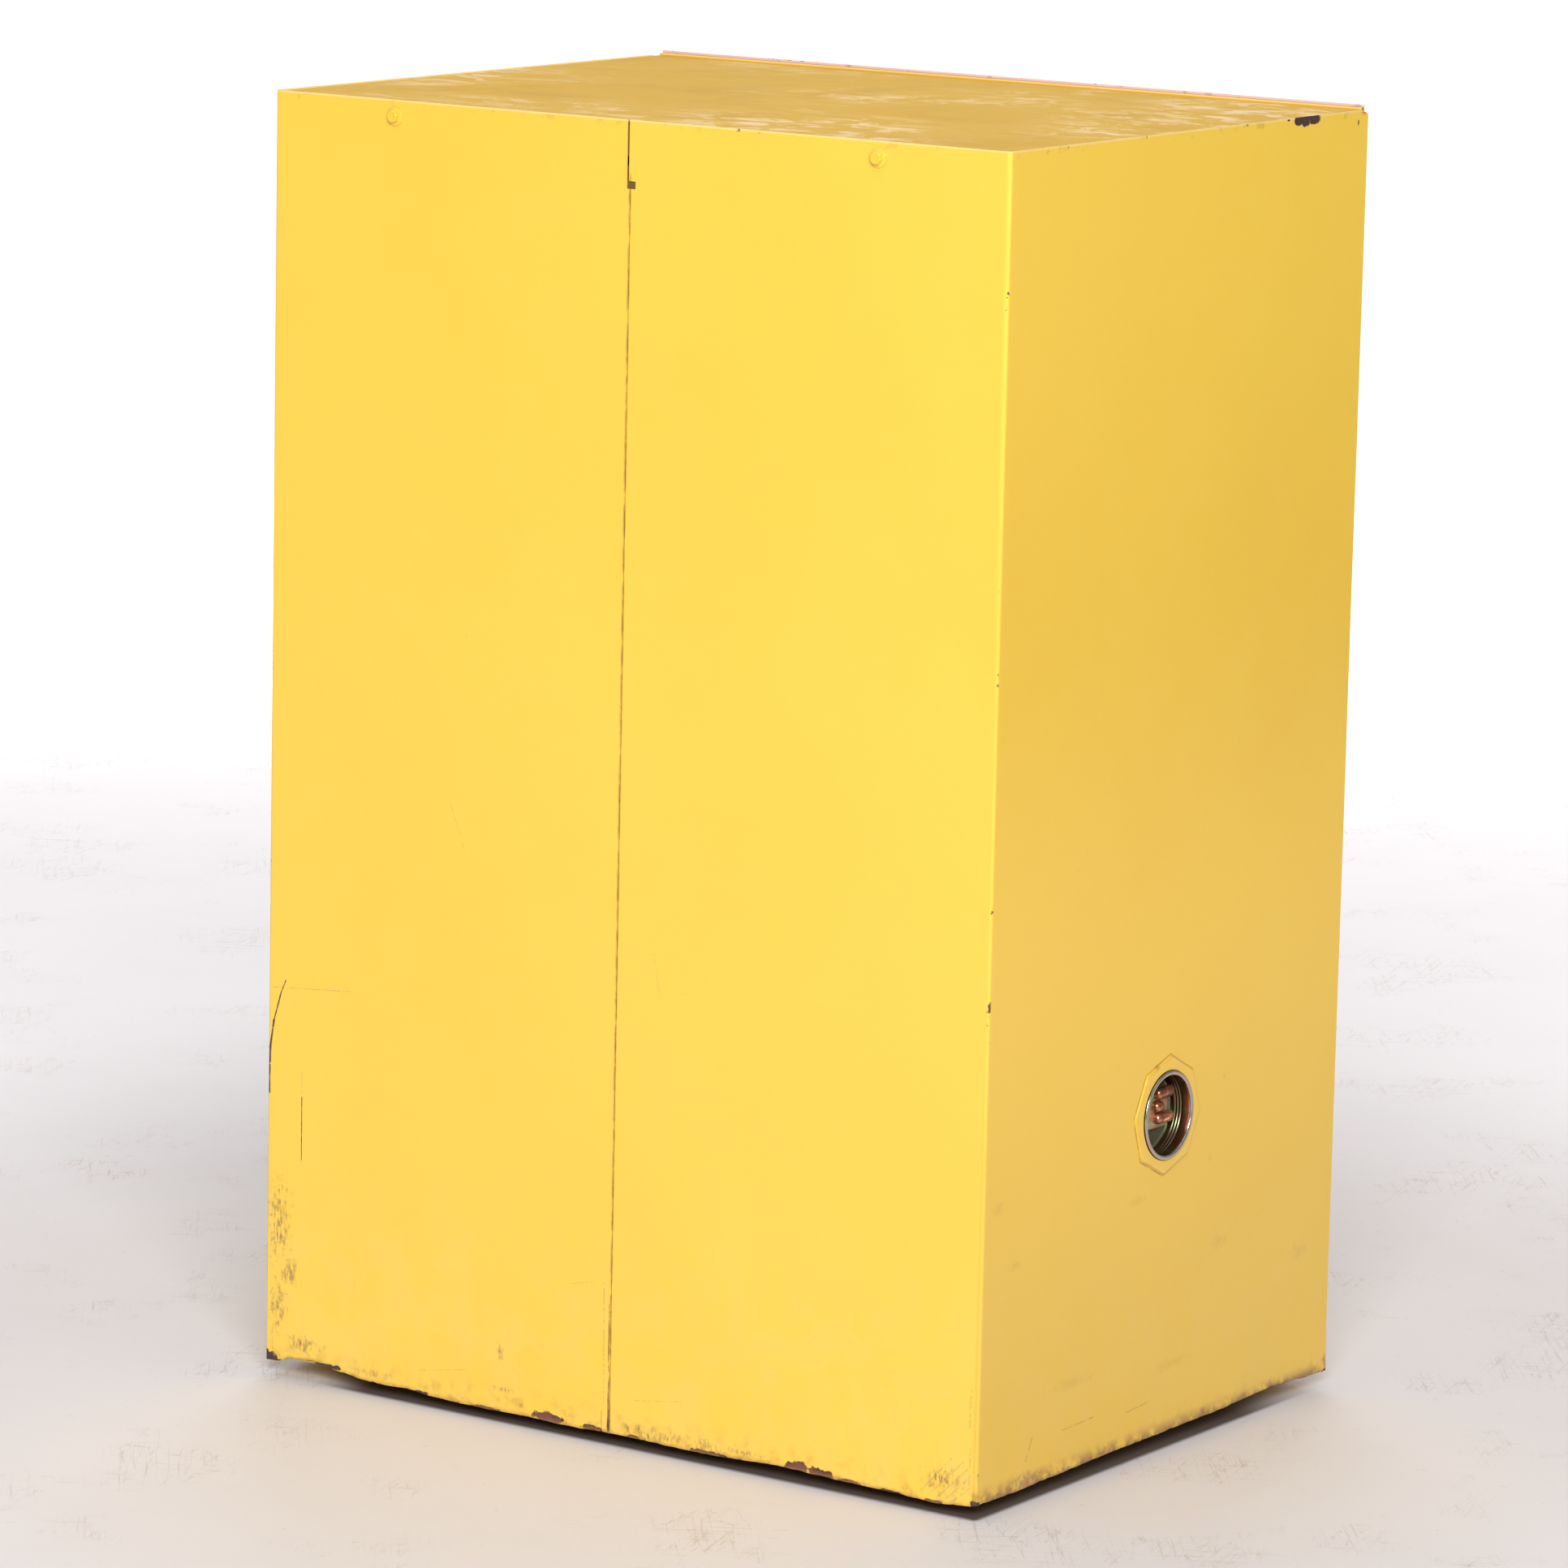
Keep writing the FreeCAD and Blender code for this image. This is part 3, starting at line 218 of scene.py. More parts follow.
def scratch_group():
    """1 along the line between two points."""
    g = Group("scratch", ("Place", "Start", "End"), ("Grain", "Width"))
    along_line = g.vector("SUBTRACT", g.given["End"], g.given["Start"])
    from_start = g.vector("SUBTRACT", g.given["Place"], g.given["Start"])
    share = g.number("DIVIDE", g.vector("DOT_PRODUCT", from_start, along_line, out=1),
                     g.vector("DOT_PRODUCT", along_line, along_line, out=1))
    share = g.number("MINIMUM", g.number("MAXIMUM", share, 0.0), 1.0)
    scaled = g.tree.nodes.new("ShaderNodeVectorMath")
    scaled.operation = "SCALE"
    g.tree.links.new(along_line, scaled.inputs[0])
    g.tree.links.new(share, scaled.inputs["Scale"])
    away = g.vector("LENGTH", g.vector("SUBTRACT", from_start, scaled.outputs[0]), out=1)
    reach = g.number("ADD", away, g.number("MULTIPLY", g.given["Grain"], g.given["Width"]))
    return g.fade(reach, g.given["Width"], g.number("MULTIPLY", g.given["Width"], 0.4))


PATCH = patch_group()
SCRATCH = scratch_group()


class Face:
    """A flat face of the shell, with places on it in millimetres."""

    def __init__(self, graph, across, up, mask):
        self.graph, self.mask = graph, mask
        self.place = graph.node("ShaderNodeCombineXYZ", {0: across, 1: up})
        self.grain = graph.less(graph.noise(260.0, 3.0), 0.5)

    def mark(self, group, **values):
        made = self.graph.tree.nodes.new("ShaderNodeGroup")
        made.node_tree = group
        for name, value in dict(values, Place=self.place, Grain=self.grain).items():
            self.graph.feed(made.inputs[name], value)
        return made.outputs[0]

    def patches(self, table, rough=1.6, soft=0.15):
        marks = [self.mark(PATCH, Centre=(x, z, 0), Radii=(wide, tall, 1), Rough=rough, Soft=soft)
                 for x, z, wide, tall in table]
        return self.graph.times(self.graph.most(*marks), self.mask)

    def scratches(self, table, gaps=0.42):
        marks = [self.mark(SCRATCH, Start=(*start, 0), End=(*end, 0), Width=width)
                 for start, end, width in table]
        broken = self.graph.step(self.graph.noise(430.0, 2.0), gaps, gaps + 0.10)
        return self.graph.times(self.graph.times(self.graph.most(*marks), self.mask), broken)


# ---- enamel ----
YELLOW = (0.885, 0.570, 0.068)
DEEP_YELLOW = (0.83, 0.51, 0.040)
PALE_YELLOW = (0.89, 0.65, 0.15)
PRIMER = (0.055, 0.022, 0.026)
RUST = (0.26, 0.115, 0.072)
GRIME = (0.30, 0.17, 0.035)
DUST = (0.76, 0.57, 0.31)

# Marks on the back: x from the seam and height above the bottom edge, then half sizes.
BACK_CHIPS = (
    (289, 2, 5, 5), (294.6, 3, 3, 6), (285, 0, 6, 2.5), (-293, 1.0, 3, 2.5), (160, -1, 9, 1.4),
    (240, 4.5, 15, 1.6), (200, -1.2, 5, 1.2), (-94, -2.2, 5, 1.8), (-228, -1.6, 8, 1.3),
)
BACK_RUST = (
    (50.5, 0.4, 15, 3.6), (14.5, -0.4, 9, 2.0), (-153, 1.5, 9, 4.5), (-171, 0.5, 10, 4),
    (1.4, 62, 0.35, 24), (1.2, 22, 0.4, 14), (-19, -1.0, 6, 1.6), (-80, -1.6, 16, 1.8),
    (0.5, 7, 1.2, 8), (104, -1.8, 12, 1.2), (-196, -0.8, 9, 1.8), (-262, -2.4, 9, 1.5),
)
BACK_SCUFFS = (
    (284, 100, 12, 34), (274, 66, 10, 12), (87, 13.5, 11, 2.2), (74.5, 5.5, 4, 2), (-24.5, 5, 6, 2.5),
    (262, 16, 14, 7), (245, 16, 5, 4), (-268, 14, 18, 9), (205, 6, 18, 3), (-110, 4, 20, 2.4),
    (92, 40, 3, 9), (-60, 4, 42, 5), (-30, 3, 26, 6), (284, 40, 8, 22),
)
BACK_SCRATCHES = (
    ((280, 270), (284, 261), 0.5), ((284, 261), (290, 241), 0.7), ((290, 241), (293, 222), 1.0),
    ((293, 222), (293.6, 208), 1.3), ((293.6, 208), (293.4, 190), 1.1), ((265, 190), (265, 146), 0.45),
)
BACK_FAINT = (
    ((293, 264), (223, 270), 0.5), ((265, 209), (265, 190), 0.4), ((6, 101), (5, 18), 0.7),
    ((-252, 4), (-276, 30), 0.7), ((-258, 2), (-284, 28), 0.6), ((-264, 1), (-288, 24), 0.7),
    ((-270, 0), (-290, 19), 0.6), ((-276, 0), (-291, 13), 0.6), ((267, 14), (242, 3), 0.5),
    ((-60, 30), (-18, 24), 0.4), ((120, 22), (160, 15), 0.4), ((275, 21), (253, 8), 0.7),
    ((288, -2), (289, 24), 0.5), ((-289, 12), (-289.5, 38), 0.8), ((-288.5, 52), (-289, 81), 0.8),
    ((34, 96), (12, 101), 0.4), ((-30, 330), (-36, 300), 0.35), ((140, 410), (128, 380), 0.35),
)
# Marks on the left side: y from the front.
SIDE_CHIPS = (
    (90.5, 877.2, 6, 3.9), (82, 876.4, 6.5, 4.6), (71, 877.2, 8.5, 4.4), (12.6, 871, 0.8, 2.2),
    (1.5, 1.5, 2.4, 2), (438, 1, 2, 1.6), (104, 878, 2, 0.7),
)
SIDE_RUST = (
    (380, 3, 19, 8), (282, 3, 13, 5), (163, 6, 4.5, 4), (113, 3, 12, 6), (75, 5, 4.5, 4),
    (35, 2, 42, 5), (3, 9, 4, 5.5), (420, 1.5, 12, 3), (234.6, 257, 4.2, 2.0),
    (330, 0, 60, 3.4), (220, 0, 60, 3.0), (130, 0, 50, 3.2), (60, 0, 40, 3.6), (400, 0, 40, 3.4),
)
SIDE_SMUDGES = (
    (423, 195, 9, 6), (255, 169, 14, 4), (149, 122, 14, 7), (402, 153, 10, 4), (41, 95, 12, 7),
    (330, 60, 26, 5), (205, 48, 30, 5), (147, 237, 2.5, 3), (162, 182, 2, 4),
)
SIDE_SCRATCHES = (
    ((375, 33.5), (383, 18.5), 0.7), ((340, 30), (301, 31), 0.5), ((260, 25.5), (233, 27), 0.5),
)


def level_shade_and_dirt(g, up, colour):
    """Up-facing surfaces painted darker all over, as painted shade for the dimmer light on top and as a brown
    film; darker blots and swept beige dust on them. Returns colour, dust and level.
    """
    level = g.step(up, 0.55, 0.9)
    strokes = g.noise(1.0, 6.0, 0.68, g.stretched((34, 52, 40)), 0.9)
    zones = g.noise(4.6, 2.0, 0.5)
    blots = g.noise(14.0, 4.0, 0.6)
    dust = g.times(level, g.times(g.step(strokes, 0.47, 0.60), g.step(zones, 0.40, 0.62)))
    # Painted shade and a brown film: every up-facing face is tinted darker.
    colour = g.over(colour, level, 0.85, (0.665, 0.395, 0.052))
    colour = g.over(colour, g.times(level, g.step(blots, 0.45, 0.75)), 0.45, (0.56, 0.315, 0.036))
    colour = g.over(colour, dust, 0.80, (0.89, 0.685, 0.41))
    return colour, dust, level


def octagon_distance(g, y, z, vent):
    """Millimetres outwards from the outline of the octagonal boss round a vent."""
    across = g.times(g.less(y, vent.y), 1 / MM)
    upward = g.times(g.less(z, vent.z), 1 / MM)
    reach = []
    for n in range(4):
        angle = BOSS_TURN + math.pi / 8 + n * math.pi / 4
        slab = g.add(g.times(across, math.cos(angle)), g.times(upward, math.sin(angle)))
        reach.append(g.size(slab))
    return g.less(g.most(*reach), BOSS_APOTHEM)


class Outside:
    """What the marks on the outside share: places, masks, noises and the two marked faces."""

    def __init__(self, g, flake, rare):
        self.g, self.flake, self.rare = g, flake, rare
        self.x, self.y, self.z = g.axes()
        self.height = g.less(self.z, BOTTOM)
        up = g.times(self.height, 1 / MM)
        self.wander = g.noise(70.0, 4.0, 0.65)
        self.on_back = g.step(self.y, BACK - 4 * MM, BACK - 2.6 * MM)
        self.on_side = g.step(self.x, -HALF + 4 * MM, -HALF + 2.6 * MM)
        on_right = g.step(self.x, HALF - 4 * MM, HALF - 2.6 * MM)
        self.upright = g.most(self.on_back, self.on_side, on_right)
        self.back = Face(g, g.times(self.x, 1 / MM), up, self.on_back)
        self.side = Face(g, g.times(g.less(self.y, FRONT), 1 / MM), up, self.on_side)


def wall_marks(shell, colour):
    """Painted light and shade by height on the left side, then edge dirt, scuffs, scratches and rust on the
    back and the left side.
    """
    g, back, side, height = shell.g, shell.back, shell.side, shell.height
    on_side, wander, flake = shell.on_side, shell.wander, shell.flake
    # Painted light and shade: the left side is tinted brighter above about 0.46 m and darker towards the
    # bottom.
    colour = g.over(colour, g.times(on_side, g.step(height, 0.46, 0.88)), 0.75, (0.98, 0.66, 0.090))
    colour = g.over(colour, g.times(on_side, g.step(height, 0.40, 0.0)), 0.50, (0.62, 0.390, 0.052))
    edge_dirt = g.times(g.step(height, 0.013, 0.001), g.step(g.add(wander, g.times(flake, 0.35)), 0.54, 0.74))
    colour = g.over(colour, g.times(edge_dirt, on_side), 0.80, (0.20, 0.085, 0.035))
    streaks = g.step(g.noise(1.0, 5.0, 0.7, g.stretched((420, 300, 110), (0, 0.35, 0))), 0.43, 0.58)
    scuffs = g.times(back.patches(BACK_SCUFFS, 2.6, 1.0), streaks)
    colour = g.over(colour, scuffs, 0.85, (0.24, 0.15, 0.06))
    colour = g.over(colour, side.patches(SIDE_SMUDGES, 2.4, 1.0), 0.16, GRIME)
    colour = g.over(colour, back.scratches(BACK_FAINT), 0.45, (0.33, 0.24, 0.12))
    colour = g.over(colour, side.scratches(SIDE_SCRATCHES), 0.55, (0.20, 0.11, 0.04))
    rust = back.patches(BACK_RUST, 1.7, 0.10)
    rusty = g.mix(g.step(wander, 0.42, 0.58), (0.16, 0.056, 0.038), (0.065, 0.022, 0.018))
    colour = g.over(colour, side.patches(SIDE_RUST, 2.6, 0.9), 0.70, RUST)
    return g.mix(rust, colour, rusty)


def vent_marks(shell, colour):
    """Painted shade on the slope, a painted shadow along the outline and a painted highlight on the crest of
    each vent's octagonal boss.
    """
    g, x, y, z = shell.g, shell.x, shell.y, shell.z
    wander, flake = shell.wander, shell.flake
    for side_x, vent in VENTS.values():
        ring = octagon_distance(g, y, z, vent)
        there = g.step(x, side_x * (HALF - 2 * MM), side_x * (HALF - 0.5 * MM))
        outline = g.times(g.step(g.size(g.less(ring, 0.15)), 0.75, 0.25), there)
        # Painted shade: the slope is tinted darker to damp the highlight it catches from the key light.
        slope = g.times(g.times(g.step(ring, 0.3, -0.3), g.step(ring, -2.2, -1.7)), there)
        colour = g.over(colour, slope, 0.45, (0.58, 0.335, 0.020))
        crest = g.times(g.step(g.size(g.add(ring, 2.0)), 0.6, 0.2), there)
        # The rear of the boss faces the key light; the painted shadow and the painted highlight are strongest
        # there.
        rearward = g.step(y, vent.y - 26 * MM, vent.y + 14 * MM)
        outline = g.times(outline, g.add(0.10, g.times(rearward, 0.90)))
        line = g.times(outline, g.step(wander, 0.30, 0.60))
        # Painted shadow: a broken dark brown line along the boss's outline.
        colour = g.over(colour, line, 0.80, (0.40, 0.20, 0.02))
        # Painted highlight: pale dashes along the crest on the rear side.
        crest = g.times(g.times(crest, rearward), g.step(flake, 0.47, 0.60))
        colour = g.over(colour, crest, 0.45, (0.95, 0.72, 0.42))
    return colour


def seam_marks(shell, colour):
    """The dirty line of the back seam, and painted shadow on the flange in the gap behind it."""
    g, x, y = shell.g, shell.x, shell.y
    on_back, height = shell.on_back, shell.height
    seam = g.times(g.step(g.size(g.less(x, 0.0002)), 0.0016, 0.0005), on_back)
    seam = g.times(seam, g.step(height, 0.846, 0.840))
    seam = g.times(seam, g.step(g.noise(1.0, 4.0, 0.6, g.stretched((120, 120, 60))), 0.34, 0.60))
    # Painted shadow: the flange seen through the seam's gap is tinted near black.
    behind = g.times(g.step(y, BACK - 0.5 * MM, BACK - 1.0 * MM), g.step(y, BACK - 5 * MM, BACK - 4 * MM))
    behind = g.times(behind, g.step(g.size(x), 0.022, 0.020))
    colour = g.over(colour, seam, 0.70, (0.34, 0.18, 0.03))
    return g.over(colour, behind, 0.9, (0.09, 0.045, 0.012))


def lip_marks(shell, colour):
    """The header's pale lip; the gap behind it, painted dark as painted shade and rust; a painted highlight
    on the top's upstand; and painted shade with a brown film in the corner behind the upstand.
    """
    g, y, z, wander = shell.g, shell.y, shell.z, shell.wander
    from_front = g.less(y, FRONT)
    lip = g.times(g.step(z, TOP + 0.2 * MM, TOP + 0.8 * MM), g.step(from_front, 0.0030, 0.0020))
    gap = g.times(g.step(from_front, 0.0008, 0.0011), g.step(from_front, 0.0037, 0.0033))
    at_gap = g.times(g.step(z, TOP - 3 * MM, TOP - 2 * MM), g.step(z, TOP + 1.6 * MM, TOP + 0.9 * MM))
    gap = g.times(gap, at_gap)
    colour = g.over(colour, lip, 0.90, (0.80, 0.53, 0.50))
    colour = g.over(colour, g.times(lip, g.step(wander, 0.56, 0.66)), 0.45, (0.42, 0.16, 0.13))
    # Painted shade and rust: the gap between the lip and the upstand is tinted dark.
    colour = g.over(colour, gap, 0.85, (0.16, 0.06, 0.03))
    # Painted highlight: the upstand is tinted paler.
    upstand = g.times(g.step(from_front, 0.0030, 0.0034), g.step(from_front, 0.0056, 0.0050))
    upstand = g.times(upstand, g.step(z, TOP + 0.2 * MM, TOP + 0.5 * MM))
    colour = g.over(colour, upstand, 0.45, (0.93, 0.69, 0.32))
    # Painted shade and a brown film: the top is tinted darker in the corner behind the upstand.
    behind_lip = g.times(g.step(from_front, 0.0030, 0.0034), g.step(from_front, 0.0072, 0.0060))
    at_top = g.times(g.step(z, TOP + 0.5 * MM, TOP + 0.2 * MM), g.step(z, TOP - 4 * MM, TOP - 2 * MM))
    film = g.times(behind_lip, at_top)
    return g.over(colour, film, 0.85, (0.60, 0.35, 0.050))


def edge_wear(shell, colour):
    """Worn corners, top rim and ragged bottom edge; returns colour and bare metal."""
    g, x, y, z = shell.g, shell.x, shell.y, shell.z
    back, side, upright = shell.back, shell.side, shell.upright
    flake, rare, wander = shell.flake, shell.rare, shell.wander
    to_side = g.less(HALF, g.size(x))
    to_back = g.less(BACK, y)
    corner = g.step(g.most(to_side, to_back), 0.0028, 0.0008)
    corner = g.times(corner, g.step(g.add(flake, g.times(rare, 0.20)), 0.75, 0.77))
    below_top = g.less(TOP, z)
    rim = g.times(g.step(below_top, 0.0030, 0.0002), upright)
    rim = g.times(rim, g.step(g.add(flake, g.times(rare, 0.16)), 0.74, 0.76))
    dashes = g.times(g.step(below_top, 0.006, 0.003), g.step(wander, 0.56, 0.64))
    colour = g.over(colour, g.times(dashes, upright), 0.35, (0.50, 0.30, 0.06))
    paler = g.times(g.step(below_top, 0.0016, 0.0006), upright)
    colour = g.over(colour, paler, 0.5, (0.95, 0.73, 0.36))
    low = g.node("ShaderNodeAttribute", out="Fac", attribute_name="low")
    ragged = g.add(g.times(flake, 0.045), g.times(wander, 0.040))
    fringe = g.step(g.add(low, ragged), 1.038, 1.046)
    halo = g.step(g.add(low, g.times(ragged, 1.5)), 1.015, 1.065)
    colour = g.over(colour, halo, 0.55, (0.30, 0.15, 0.04))
    bare = g.most(corner, rim, fringe, back.patches(BACK_CHIPS), side.patches(SIDE_CHIPS, 0.9),
                  back.scratches(BACK_SCRATCHES, 0.30))
    return colour, bare


def enamel(name, inside=False):
    g = Graph(name)
    up = g.axes(g.normal)[2]
    height = g.less(g.axes()[2], BOTTOM)
    wide = g.noise(5.0, 2.0)
    cloud = g.noise(26.0, 4.0, 0.6)
    fine = g.noise(240.0, 3.0, 0.6)
    colour = g.mix(g.step(wide, 0.35, 0.7), YELLOW, DEEP_YELLOW if inside else (0.875, 0.556, 0.063))
    colour = g.over(colour, g.step(cloud, 0.40, 0.80), 0.06, PALE_YELLOW)
    colour = g.over(colour, g.step(fine, 0.45, 0.8), 0.08, DEEP_YELLOW)

    smudge = g.noise(95.0, 5.0, 0.68)
    low_grime = g.times(g.step(height, 0.022, 0.0), g.step(smudge, 0.46, 0.66))
    haze = g.times(g.step(height, 0.20, 0.02), g.step(cloud, 0.35, 0.7))
    colour = g.over(colour, haze, 0.12, DUST)
    colour = g.over(colour, low_grime, 0.40, GRIME)

    flake = g.noise(150.0, 4.0, 0.65)
    rare = g.step(g.noise(17.0, 2.0), 0.50, 0.66)
    colour, dust, level = level_shade_and_dirt(g, up, colour)
    long_marks = g.noise(1.0, 2.0, 0.5, g.stretched((30, 30, 900), (0.3, 0.2, 0.0)))
    tall_marks = g.noise(1.0, 2.0, 0.5, g.stretched((850, 850, 14), (0.12, 0.05, 0.0)))
    marks = g.most(g.step(long_marks, 0.745, 0.81), g.step(tall_marks, 0.765, 0.83))
    colour = g.over(colour, marks, 0.28, (0.50, 0.33, 0.10))
    speck = g.times(g.step(g.noise(330.0, 2.0, 0.5), 0.755, 0.80), g.step(cloud, 0.50, 0.62))
    colour = g.over(colour, speck, 0.5, (0.25, 0.16, 0.07))

    bare = g.times(g.worn_edge(), g.step(g.add(flake, g.times(rare, 0.15)), 0.68, 0.71))
    if not inside:
        shell = Outside(g, flake, rare)
        for add_marks in (wall_marks, vent_marks, seam_marks, lip_marks):
            colour = add_marks(shell, colour)
        colour, shell_bare = edge_wear(shell, colour)
        bare = g.most(bare, shell_bare)
    colour = g.mix(bare, colour, g.mix(g.step(g.noise(500.0, 3.0), 0.45, 0.65), PRIMER, (0.10, 0.045, 0.03)))

    rough = g.add(0.20, g.times(g.step(cloud, 0.4, 0.7), 0.05))
    rough = g.add(rough, g.add(g.times(dust, 0.25), g.times(level, 0.32)))
    rough = g.add(rough, g.add(g.times(bare, 0.30), g.times(low_grime, 0.20)))
    bumped = g.bump(g.noise(7.0, 1.0, 0.4), 0.10, 0.006)
    bumped = g.bump(g.noise(330.0, 2.0, 0.5), 0.05, 0.0015, bumped)
    bumped = g.bump(g.invert(bare), 0.6, 0.0003, bumped)
    shine = g.less(0.56, g.times(level, 0.44))
    return g.finish(Base_Color=colour, Roughness=rough, Normal=bumped, Specular_IOR_Level=shine)


# ---- metals, rubber, plastic ----
STAIN = (0.10, 0.06, 0.035)


def metal(name, light, dark, rough, grain=(60, 60, 60), stained=0.15):
    """Plated or plain metal: drawn grain, cloudy finish, bright worn edges, a little staining."""
    g = Graph(name)
    cloud = g.noise(30.0, 4.0, 0.6)
    lines = g.noise(1.0, 4.0, 0.6, g.stretched(grain))
    colour = g.mix(g.step(cloud, 0.35, 0.7), light, dark)
    colour = g.over(colour, g.step(lines, 0.4, 0.75), 0.35, dark)
    dirt = g.times(g.step(g.noise(90.0, 5.0, 0.65), 0.55, 0.72), stained)
    colour = g.mix(dirt, colour, STAIN)
    bright = g.times(g.worn_edge(), g.step(g.noise(120.0, 3.0), 0.42, 0.6))
    colour = g.over(colour, bright, 0.5, tuple(min(1.0, c * 1.25) for c in light))
    wear = g.add(g.times(lines, 0.16), g.times(dirt, 0.5))
    roughness = g.add(rough - 0.08, wear)
    bumped = g.bump(lines, 0.10, 0.0006)
    return g.finish(Base_Color=colour, Roughness=roughness, Normal=bumped, Metallic=1.0)


def galvanised(name):
    g = Graph(name)
    flakes = g.node("ShaderNodeTexVoronoi", {"Vector": g.place, "Scale": 95.0, "Randomness": 1.0},
                    out="Color")
    shade = g.axes(flakes)[0]
    colour = g.mix(g.step(shade, 0.1, 0.9), (0.42, 0.44, 0.46), (0.68, 0.70, 0.72))
    cloud = g.noise(22.0, 4.0, 0.6)
    colour = g.over(colour, g.step(cloud, 0.5, 0.75), 0.4, (0.75, 0.75, 0.73))
    scrape = g.step(g.noise(1.0, 3.0, 0.6, g.stretched((25, 500, 60))), 0.66, 0.75)
    colour = g.over(colour, scrape, 0.45, (0.30, 0.30, 0.31))
    rough = g.add(0.34, g.add(g.times(shade, 0.16), g.times(scrape, 0.12)))
    return g.finish(Base_Color=colour, Roughness=rough, Metallic=1.0,
                    Normal=g.bump(shade, 0.05, 0.0004))


def chromate(name):
    """Yellow chromate over zinc: grey-green and tan with pink and green bloom, and painted shade on the cup's
    inner wall and floor.
    """
    g = Graph(name)
    bloom = g.noise(34.0, 3.0, 0.55, distortion=1.4)
    tint = g.node("ShaderNodeValToRGB", {"Fac": bloom})
    ramp = tint.node.color_ramp
    stops = ((0.30, (0.36, 0.47, 0.26)), (0.42, (0.56, 0.54, 0.40)), (0.52, (0.62, 0.45, 0.42)),
             (0.62, (0.52, 0.50, 0.44)), (0.75, (0.60, 0.46, 0.22)))
    while len(ramp.elements) < len(stops):
        ramp.elements.new(0.5)
    for element, (place, colour) in zip(ramp.elements, stops):
        element.position = place
        element.color = (*colour, 1)
    colour = g.mix(g.times(g.step(g.noise(160.0, 4.0), 0.5, 0.75), 0.35), tint, (0.30, 0.26, 0.16))
    depth = g.less(HALF + 2.8 * MM, g.size(g.axes()[0]))
    floorward = g.step(g.size(g.axes(g.normal)[0]), 0.90, 0.60)
    # Painted shade: the cup's inner wall, from a few millimetres in, is tinted near black.
    inside = g.times(g.step(depth, 0.0008, 0.0030), floorward)
    wall = g.mix(g.step(bloom, 0.40, 0.60), (0.120, 0.150, 0.060), (0.150, 0.085, 0.045))
    colour = g.over(colour, inside, 0.90, wall)
    # Painted shade: the cup's floor is tinted dark green.
    cup_floor_shade = g.times(g.step(depth, 0.0150, 0.0172), g.invert(floorward))
    colour = g.over(colour, cup_floor_shade, 0.88, (0.085, 0.105, 0.050))
    rough = g.add(0.14, g.add(g.times(g.noise(120.0, 3.0), 0.16), g.times(inside, 0.10)))
    return g.finish(Base_Color=colour, Roughness=rough, Metallic=g.less(1.0, g.times(cup_floor_shade, 0.6)),
                    Normal=g.bump(g.noise(90.0, 3.0), 0.08, 0.0008))


def coppery(name):
    """The plug's wrench lugs: copper-brown where they stand up, tan and green on their pad."""
    g = Graph(name)
    bloom = g.noise(60.0, 3.0, 0.55, distortion=1.2)
    bars = g.mix(g.step(bloom, 0.36, 0.64), (0.36, 0.125, 0.045), (0.62, 0.27, 0.19))
    pad = g.mix(g.step(bloom, 0.38, 0.62), (0.42, 0.42, 0.20), (0.64, 0.35, 0.20))
    depth = g.less(HALF, g.size(g.axes()[0]))
    low = g.step(depth, 0.0100, 0.0112)
    colour = g.mix(low, bars, pad)
    grain = g.noise(150.0, 4.0)
    colour = g.over(colour, g.step(grain, 0.52, 0.72), 0.35, (0.12, 0.05, 0.03))
    rough = g.add(0.18, g.times(grain, 0.16))
    return g.finish(Base_Color=colour, Roughness=rough, Metallic=g.less(0.85, g.times(low, 0.55)),
                    Normal=g.bump(grain, 0.10, 0.0005))


def rubbery(name, colour, dusty, rough):
    g = Graph(name)
    cloud = g.noise(55.0, 5.0, 0.65)
    shade = g.over(colour, g.step(cloud, 0.42, 0.72), 0.5, dusty)
    scratch = g.step(g.noise(1.0, 3.0, 0.6, g.stretched((60, 700, 60))), 0.66, 0.74)
    shade = g.mix(g.times(scratch, 0.4), shade, dusty)
    roughness = g.add(rough, g.times(cloud, 0.2))
    return g.finish(Base_Color=shade, Roughness=roughness,
                    Normal=g.bump(g.noise(600.0, 3.0), 0.15, 0.0004))


FINISH = {
    "cabinet_enamel": enamel("cabinet_enamel"),
    "liner_enamel": enamel("liner_enamel", inside=True),
    "screw_enamel": enamel("screw_enamel", inside=True),
    "zinc_steel": metal("zinc_steel", (0.66, 0.68, 0.70), (0.46, 0.48, 0.51), 0.34),
    "galvanised": galvanised("galvanised"),
    "plain_steel": metal("plain_steel", (0.40, 0.39, 0.38), (0.20, 0.19, 0.18), 0.42, stained=0.5),
    "chromate_zinc": chromate("chromate_zinc"),
    "chromate_copper": coppery("chromate_copper"),
    "lever_metal": metal("lever_metal", (0.72, 0.72, 0.74), (0.55, 0.55, 0.58), 0.26,
                         grain=(18, 300, 300)),
    "lock_brass": metal("lock_brass", (0.66, 0.50, 0.24), (0.42, 0.29, 0.11), 0.30, stained=0.3),
    "gasket_rubber": rubbery("gasket_rubber", (0.018, 0.018, 0.018), (0.06, 0.055, 0.05), 0.55),
    "arrester_brass": metal("arrester_brass", (0.55, 0.42, 0.20), (0.34, 0.24, 0.10), 0.36,
                            stained=0.3),
    "foot_plastic": rubbery("foot_plastic", (0.022, 0.022, 0.024), (0.10, 0.09, 0.08), 0.38),
}
SLOT_OF = {part["node"]: part["material_slot"] for part in record["subparts"]}
BODY_OF = {n: body for body, members in record["behaviour"]["bodies"].items() for n in members}


